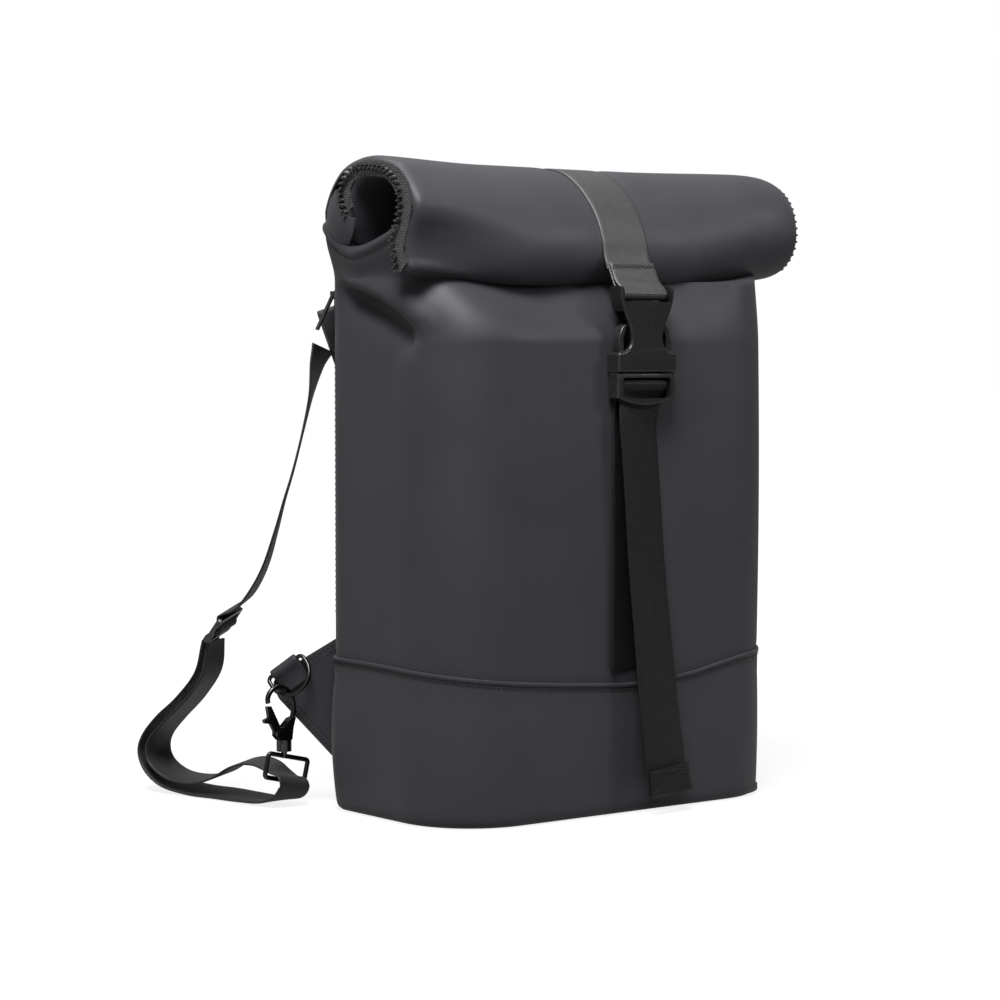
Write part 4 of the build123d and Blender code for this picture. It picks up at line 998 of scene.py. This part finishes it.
STRAP = [((-136.5, 84.4, 303), across(18, 0)), ((-140, 86, 292), across(34, 0)),
         ((-143.5, 88, 272), across(50, 0)), ((-148, 91, 248), across(55, 0)),
         ((-152.5, 96, 222), across(55, 0)), ((-156, 101.5, 202), across(54, 0)),
         ((-158.5, 107.5, 182), across(50, 4)), ((-161.5, 115, 160), across(44, 9)),
         ((-165.5, 122.5, 144), across(36, 14)), ((-170, 131, 132.5), across(28, 18)),
         glide_station(-GLIDE_HALF, GLIDE_OFF + 0.1),
         glide_station(-GLIDE_HALF + GLIDE_WIRE + 0.2, GLIDE_OFF),
         glide_station(-GLIDE_WIRE / 2 - 0.2, -GLIDE_OFF),
         glide_station(GLIDE_WIRE / 2 + 0.2, -GLIDE_OFF),
         glide_station(GLIDE_HALF - GLIDE_WIRE - 0.2, GLIDE_OFF),
         glide_station(GLIDE_HALF + 1.2, GLIDE_OFF + 0.1)]
LOOPED = [glide_station(GLIDE_HALF + 2.6, GLIDE_OFF + 0.1), (loop_point(203, 87), across(21, 10)),
          (loop_point(219.5, 68), across(18, 6)), (loop_point(238, 53), across(16, 4)),
          (loop_point(251, 39), across(15, 3)), (loop_point(255, 27), across(15, 3)),
          (loop_point(249, 15), across(15, 4)), (loop_point(234, 6.5), across(15, 6)),
          (loop_point(210, 3.4), across(15, 8)), (loop_point(186, 3.2), across(15, 8)),
          (loop_point(163, 2.9, -1), across(14, 6)), (loop_point(142, 3.2, -2), across(11, 2)),
          (loop_point(128, 6.5, -2.9), across(7, -6)),
          (loop_point(121.5, 13.5, -2.9), across(4, -12)),
          (loop_point(124, 19, -2.9), across(2, -13)),
          (loop_point(130.4, 21.2, -2.9), across(2, -13)),
          (loop_point(138, 24, -2.5), across(5, -8)), (loop_point(148, 27, -1), across(9, 0)),
          (loop_point(160, 27.5), across(13, 6)), (loop_point(173, 24), across(15, 8)),
          (loop_point(188, 16), across(15, 8)), (loop_point(206, 11), across(15, 8)),
          (loop_point(225, 11.2), across(15, 6)), (loop_point(238, 15.5), across(15, 4)),
          (loop_point(246, 22), across(15, 3)), (loop_point(248, 30), across(15, 3)),
          (loop_point(244, 38.5), across(16, 4)), (loop_point(232, 50), across(16, 5)),
          (loop_point(213.5, 65.5), across(18, 7)), (loop_point(198, 84), across(21, 11)),
          glide_station(GLIDE_HALF + 2.2, -1.4)]
YOKE = [((-36, 75.4, 322.5), (0, 0, 1)), ((-60, 75.4, 320.5), (0, 0, 1)),
        ((-80, 75.6, 319), (0, 0, 1)), ((-104, 77.4, 315), (0.05, 0, 1)),
        ((-121, 80.5, 311), (0.14, 0, 1)), ((-133, 83.6, 307), (0.25, 0, 1))]

# --------------------------------------------------------------- tab, ring and hook
tab_turn = math.radians(40.0)
tab_root = np.array([-129.6, 76.0, 0.0])
tab_out = np.array([-math.cos(tab_turn), math.sin(tab_turn), 0.0])
tab_face = np.cross(tab_out, (0, 0, 1.0))
tab_face = tab_face if tab_face[1] < 0 else -tab_face
TAB_TOP, TAB_LOW = (24.5, 97), (44.5, 82)    # the corners that the ring's leather is folded over
TAB = ((-6.5, 116), TAB_TOP, TAB_LOW, (41, 71), (-6.5, 20))
STITCH_LIFT = 1.55


def on_tab(spot, lift=0.0):
    """A point of the tab from its distance out and its height, lifted off its face."""
    return tab_root + tab_out * spot[0] + np.array([0, 0, spot[1]]) + tab_face * lift


def rounded_outline(corners, radius):
    """A closed outline with its corners rounded."""
    result = []
    corners = np.array(corners, float)
    for k in range(len(corners)):
        before, here, after = corners[k - 1], corners[k], corners[(k + 1) % len(corners)]
        a, b = here + unit(before - here) * radius, here + unit(after - here) * radius
        for share in np.linspace(0, 1, 5):
            result.append((1 - share) ** 2 * a + 2 * share * (1 - share) * here + share ** 2 * b)
    return np.array(result)


def inset_outline(corners, inset):
    """A polygon's corners moved inwards by a distance."""
    corners = np.array(corners, float)
    centre = corners.mean(axis=0)
    result = []
    for k in range(len(corners)):
        before, here, after = corners[k - 1], corners[k], corners[(k + 1) % len(corners)]
        one, two = unit(here - before), unit(after - here)
        m, n = np.array([-one[1], one[0]]), np.array([-two[1], two[0]])
        m = m if m.dot(centre - here) > 0 else -m
        n = n if n.dot(centre - here) > 0 else -n
        result.append(here + (m + n) * inset / (1 + m.dot(n)))
    return np.array(result)


def slab(name, outline, thickness, material, place):
    """A leather shape cut from sheet, with softened edges."""
    count = len(outline)
    edge = 0.7
    small = outline + unit(outline.mean(axis=0) - outline) * edge
    layers = [(small, thickness / 2), (outline, thickness / 2 - edge),
              (outline, -thickness / 2 + edge), (small, -thickness / 2)]
    points = [place(spot, lift) for shape, lift in layers for spot in shape]
    faces = [tuple(range(count)), tuple(range(3 * count, 4 * count))[::-1]]
    for layer in range(3):
        for k in range(count):
            a, b = layer * count + k, layer * count + (k + 1) % count
            faces.append((a, b, b + count, a + count))
    return made_mesh(name, points, faces, material, 40.0)


bar_dir = unit(on_tab(TAB_TOP) - on_tab(TAB_LOW))
edge_mid = (np.array(TAB_LOW, float) + np.array(TAB_TOP, float)) / 2
edge_line = unit(np.array(TAB_TOP, float) - np.array(TAB_LOW, float))
edge_out = np.array([-edge_line[1], edge_line[0]])
edge_out = edge_out if edge_out[1] > 0 else -edge_out
bar_at = on_tab(edge_mid + edge_out * 3.0, 2.6)
down_tab = unit(on_tab(edge_mid - edge_out) - on_tab(edge_mid))
RING_LEAF = ((15, 0.2), (9, 0.3), (4.2, 1.4), (1.6, 2.5), (-0.9, 2.5), (-2.6, 0.6), (-2.2, -1.6),
             (0, -2.9), (4, -4.7), (9, -5.1), (15, -5.1))

for side, sign in SIDES:
    hand = np.array([sign, 1, 1])
    turn_over = (lambda s: s) if sign > 0 else flipped
    strap = webbing(f"shoulder_web_{side}", turn_over(STRAP), 25.0, 1.6, SHOULDER_WEB)
    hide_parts(f"shoulder_strap_{side}")
    looped = webbing(f"loop_web_{side}", turn_over(LOOPED), 25.0, 1.6, SHOULDER_WEB)
    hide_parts(f"strap_loop_{side}")
    yoke = webbing(f"yoke_pad_{side}", turn_over(YOKE), 42.0, 5.2, TRIM_LEATHER, step=3.0,
                   corner=1.2)
    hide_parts(f"shoulder_yoke_{side}")
    refined(f"tri_glide_{side}", f"glide_{side}_metal", GUNMETAL, bevel=0.5)
    tab = slab(f"tab_leather_{side}", rounded_outline(TAB, 2.5), 3.0, TRIM_LEATHER,
               lambda spot, lift: on_tab(spot, lift) * hand)
    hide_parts(f"side_tab_{side}")
    paths = [inset_outline(TAB, inset)[::-1] for inset in (3.0, 6.2)]
    paths.append([(33, 88.5), (38.5, 80), (26, 83), (33, 88.5)])
    lines = [(np.array([on_tab(p, STITCH_LIFT) * hand for p in path]), tab_face * hand)
             for path in paths]
    row_of(f"tab_stitches_{side}", STITCHES, lines, 3.1, (2.5, 0.8, 0.5), THREAD)
    leaf = [(tuple((bar_at + down_tab * down + tab_face * out) * hand), tuple(bar_dir * hand))
            for down, out in RING_LEAF]
    leaf_web = webbing(f"ring_leather_{side}", leaf, 20.0, 1.5, TRIM_LEATHER, step=1.2)
    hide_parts(f"ring_sleeve_{side}")
    for part, bevel in (("d_ring", 0.0), ("hook_eye", 0.0),
                        ("snap_hook", 0.45), ("hook_gate", 0.45)):
        refined(f"{part}_{side}", f"{part}_{side}_metal", GUNMETAL, bevel=bevel)

# ------------------------------------------------------------------------ buckle
refined("buckle_socket", "buckle_socket_shell", PLASTIC)
refined("buckle_plug", "buckle_plug_shell", PLASTIC)
for side, _ in SIDES:
    refined(f"buckle_prong_{side}", f"prong_{side}_shell", PLASTIC, bevel=0.6)

# --------------------------------------------------------------- back of the bag
ARCH = [((52 * math.cos(angle), 79.2, 322 + 44 * math.sin(angle)),
         (math.cos(angle), 0.0, math.sin(angle))) for angle in np.linspace(0, math.pi, 15)]
BOW = [((52, 79.0, 305), level), ((52, 79.2, 314), level)] + ARCH + [
    ((-52, 79.2, 314), (-1, 0, 0)), ((-52, 79.0, 305), (-1, 0, 0))]
bow = webbing("haul_web", BOW, 12.0, 3.2, TRIM_LEATHER, step=3.0, cup=0.6)
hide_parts("haul_loop")

# the pad's half width and height, its middle's height, its corner, face and puff, then the
# sewn channels either side of its middle
PAD_WIDE, PAD_HIGH, PAD_MIDDLE, PAD_CORNER = 108.0, 88.0, 196.0, 18.0
PAD_FRONT, PAD_PUFF = 72.2, 6.4
CHANNEL_ASIDE, CHANNEL_UP, CHANNEL_DEEP = 36.0, 30.0, 2.6


def pad_grid(columns, levels):
    """The pad's outer face: swollen between sewn channels, thin at its edge."""
    grid = np.zeros((len(levels), len(columns), 3))
    for i, v in enumerate(levels):
        above = max(abs(v) * PAD_HIGH - (PAD_HIGH - PAD_CORNER), 0)
        reach = PAD_WIDE - (PAD_CORNER - math.sqrt(max(PAD_CORNER ** 2 - above ** 2, 0)))
        for j, u in enumerate(columns):
            x, z = u * reach, PAD_MIDDLE + v * PAD_HIGH
            edge = min(1 - abs(u), 1 - abs(v))
            puff = PAD_PUFF * math.sqrt(max(1 - (1 - min(edge * 8, 1)) ** 2, 0))
            for groove in (min(abs(x + CHANNEL_ASIDE), abs(x - CHANNEL_ASIDE)),
                           min(abs(z - PAD_MIDDLE - CHANNEL_UP), abs(z - PAD_MIDDLE + CHANNEL_UP))):
                puff -= CHANNEL_DEEP * math.exp(-(groove / 3.0) ** 2) * min(edge * 12, 1)
            grid[i, j] = (x, PAD_FRONT + max(puff, 0.15), z)
    return grid


grid = pad_grid(np.linspace(-1, 1, 110), np.linspace(-1, 1, 90))
flat = grid.copy()
flat[..., 1] = PAD_FRONT - 1.0
pad = made_mesh("back_pad_mesh", np.vstack([grid.reshape(-1, 3), flat.reshape(-1, 3)]),
                shell_faces(*grid.shape[:2]), MESH_PAD)
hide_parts("back_pad")

recoated("laptop_sleeve", LINING)
recoated("base_board", BOARD)

# stitches across the closing strap's fold and round the hem of its tail
zig = [(x, -70.6, 355.2 + (0.9 if k % 2 else -0.9)) for k, x in enumerate(np.linspace(-18, 18, 21))]
outward = unit(np.array([0, -0.93, 0.37]))
row_of("fold_stitches", STITCHES, [(np.array(zig) + outward * 1.0, outward)], 1.8,
       (2.1, 0.8, 0.6), THREAD)
hem_line = np.array(turned(6.5))
hem_middle = np.array([15.8, -91.0, 23.0])
square = [hem_middle + hem_line * aside + np.array([-0.1 * up, 0.06 * -up, up]) for aside, up in (
    (-16.5, -6.5), (16.5, -6.5), (16.5, 6), (-16.5, 6), (-16.5, -6.5), (16.5, 6))]
row_of("hem_stitches", STITCHES, [(square, (0, -1, 0))], 2.6, (2.1, 0.7, 0.5), THREAD)

# which body a piece moves with, by how its name starts; all the rest move with the bag
MOVES_WITH = {"slider_": "slider", "pull_": "pull", "prong_": "prong", "d_ring_": "ring",
              "snap_hook_": "hook", "hook_gate_": "gate"}
for made in [o for o in bpy.data.objects if o.type == "MESH" and "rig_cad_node" not in o]:
    if made.name == "closing_strap_web":
        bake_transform(made)
        continue
    body = "buckle_body" if made.name in ("buckle_socket_shell", "buckle_loop_web") else "bag"
    for start, moving in MOVES_WITH.items():
        if made.name.startswith(start):
            body = moving + ("_left" if "left" in made.name else "_right")
    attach(made, body)

# ------------------------------------------------------------- floor, light, camera
def shaded(tree, vector, low, high, dark):
    """Brightness of what gloss sees: full behind the bag, falling to the front right."""
    lean_to = node(tree, "ShaderNodeVectorMath", {0: vector, 1: (0.62, -0.78, 0.0)},
                   operation="DOT_PRODUCT")
    return spread(tree, lean_to.outputs["Value"], low, high, 1.0, dark)


def floor_finish():
    """Pale floor: white to the camera but for the shadow, dimmer in gloss, dull as a bounce."""
    made = bpy.data.materials.new("pale floor")
    made.use_nodes = True
    tree = made.node_tree
    tree.nodes.clear()
    ray = node(tree, "ShaderNodeLightPath")
    matt = node(tree, "ShaderNodeBsdfDiffuse", {"Color": (0.18, 0.18, 0.18, 1)})
    low = node(tree, "ShaderNodeBsdfDiffuse", {"Color": (0.16, 0.16, 0.16, 1)})
    place = node(tree, "ShaderNodeTexCoord")
    shine = sums(tree, "MULTIPLY", shaded(tree, place.outputs["Object"], 0.0, 1.5, 0.1), 0.25)
    distance = node(tree, "ShaderNodeVectorMath", {0: place.outputs["Object"]}, operation="LENGTH")
    near = spread(tree, distance.outputs["Value"], 0.25, 0.75, 0.84, 1.0)
    glow_level = sums(tree, "MAXIMUM",
                      sums(tree, "MULTIPLY", ray.outputs["Is Camera Ray"], near), shine)
    glow = node(tree, "ShaderNodeEmission", {"Color": (1, 1, 1, 1), "Strength": glow_level})
    lit = node(tree, "ShaderNodeAddShader", {0: low.outputs[0], 1: glow.outputs[0]})
    seen = sums(tree, "MAXIMUM", ray.outputs["Is Camera Ray"], ray.outputs["Is Glossy Ray"])
    mix = node(tree, "ShaderNodeMixShader", {0: seen, 1: matt.outputs[0], 2: lit.outputs[0]})
    node(tree, "ShaderNodeOutputMaterial", {0: mix.outputs[0]})
    return made


def studio_world():
    """White to the camera and through glass, dimmer in gloss, and a little soft light."""
    made = bpy.data.worlds.new("studio")
    made.use_nodes = True
    tree = made.node_tree
    tree.nodes.clear()
    ray = node(tree, "ShaderNodeLightPath")
    soft = node(tree, "ShaderNodeBackground", {"Color": (1, 1, 1, 1), "Strength": 0.1})
    way = node(tree, "ShaderNodeTexCoord")
    shine = sums(tree, "MULTIPLY", shaded(tree, way.outputs["Generated"], -0.2, 0.8, 0.1), 0.35)
    plain = sums(tree, "MAXIMUM", ray.outputs["Is Camera Ray"], ray.outputs["Is Transmission Ray"])
    white_level = sums(tree, "MAXIMUM", plain, shine)
    white = node(tree, "ShaderNodeBackground", {"Color": (1, 1, 1, 1), "Strength": white_level})
    seen = sums(tree, "MAXIMUM", plain, ray.outputs["Is Glossy Ray"])
    mix = node(tree, "ShaderNodeMixShader", {0: seen, 1: soft.outputs[0], 2: white.outputs[0]})
    node(tree, "ShaderNodeOutputWorld", {0: mix.outputs[0]})
    return made


floor_mesh = bpy.data.meshes.new("floor")
far = 6.0
floor_mesh.from_pydata([(-far, -far, 0), (far, -far, 0), (far, far, 0), (-far, far, 0)], [],
                       [(0, 1, 2, 3)])
linked("floor", floor_mesh, floor_finish())
bpy.context.scene.world = studio_world()


def lamp(name, place, aim, size, power):
    """A large soft area lamp aimed at a point, all in metres and watts."""
    data = bpy.data.lights.new(name, "AREA")
    data.shape = "RECTANGLE"
    data.size, data.size_y = size
    data.energy = power
    made = bpy.data.objects.new(name, data)
    bpy.context.scene.collection.objects.link(made)
    made.location = place
    made.rotation_euler = (Vector(aim) - Vector(place)).to_track_quat("-Z", "Y").to_euler()


lamp("key light", (-0.85, -0.72, 2.0), (0, 0, 0.2), (0.9, 0.9), 66)
lamp("top light", (0.1, 0.5, 2.0), (0, 0, 0.3), (0.9, 0.9), 12)
lamp("side fill", (-1.7, -1.5, 1.3), (0, 0, 0.2), (0.9, 1.1), 3)
lamp("front light", (1.1, -1.3, 1.15), (0, 0, 0.35), (0.45, 0.45), 8)

CAMERA_AT, CAMERA_HEADING, CAMERA_DOWN = (-1.1886, -1.452, 0.2987), -38.0, 2.972
camera_data = bpy.data.cameras.new("camera")
camera_data.lens = 101.3
camera_data.sensor_width = 36.0
camera_data.clip_end = 30.0
camera = bpy.data.objects.new("camera", camera_data)
bpy.context.scene.collection.objects.link(camera)
camera.location = CAMERA_AT
camera.rotation_euler = (math.radians(90 - CAMERA_DOWN), 0.0, math.radians(CAMERA_HEADING))
bpy.context.scene.camera = camera
bpy.context.scene.view_settings.view_transform = "Standard"
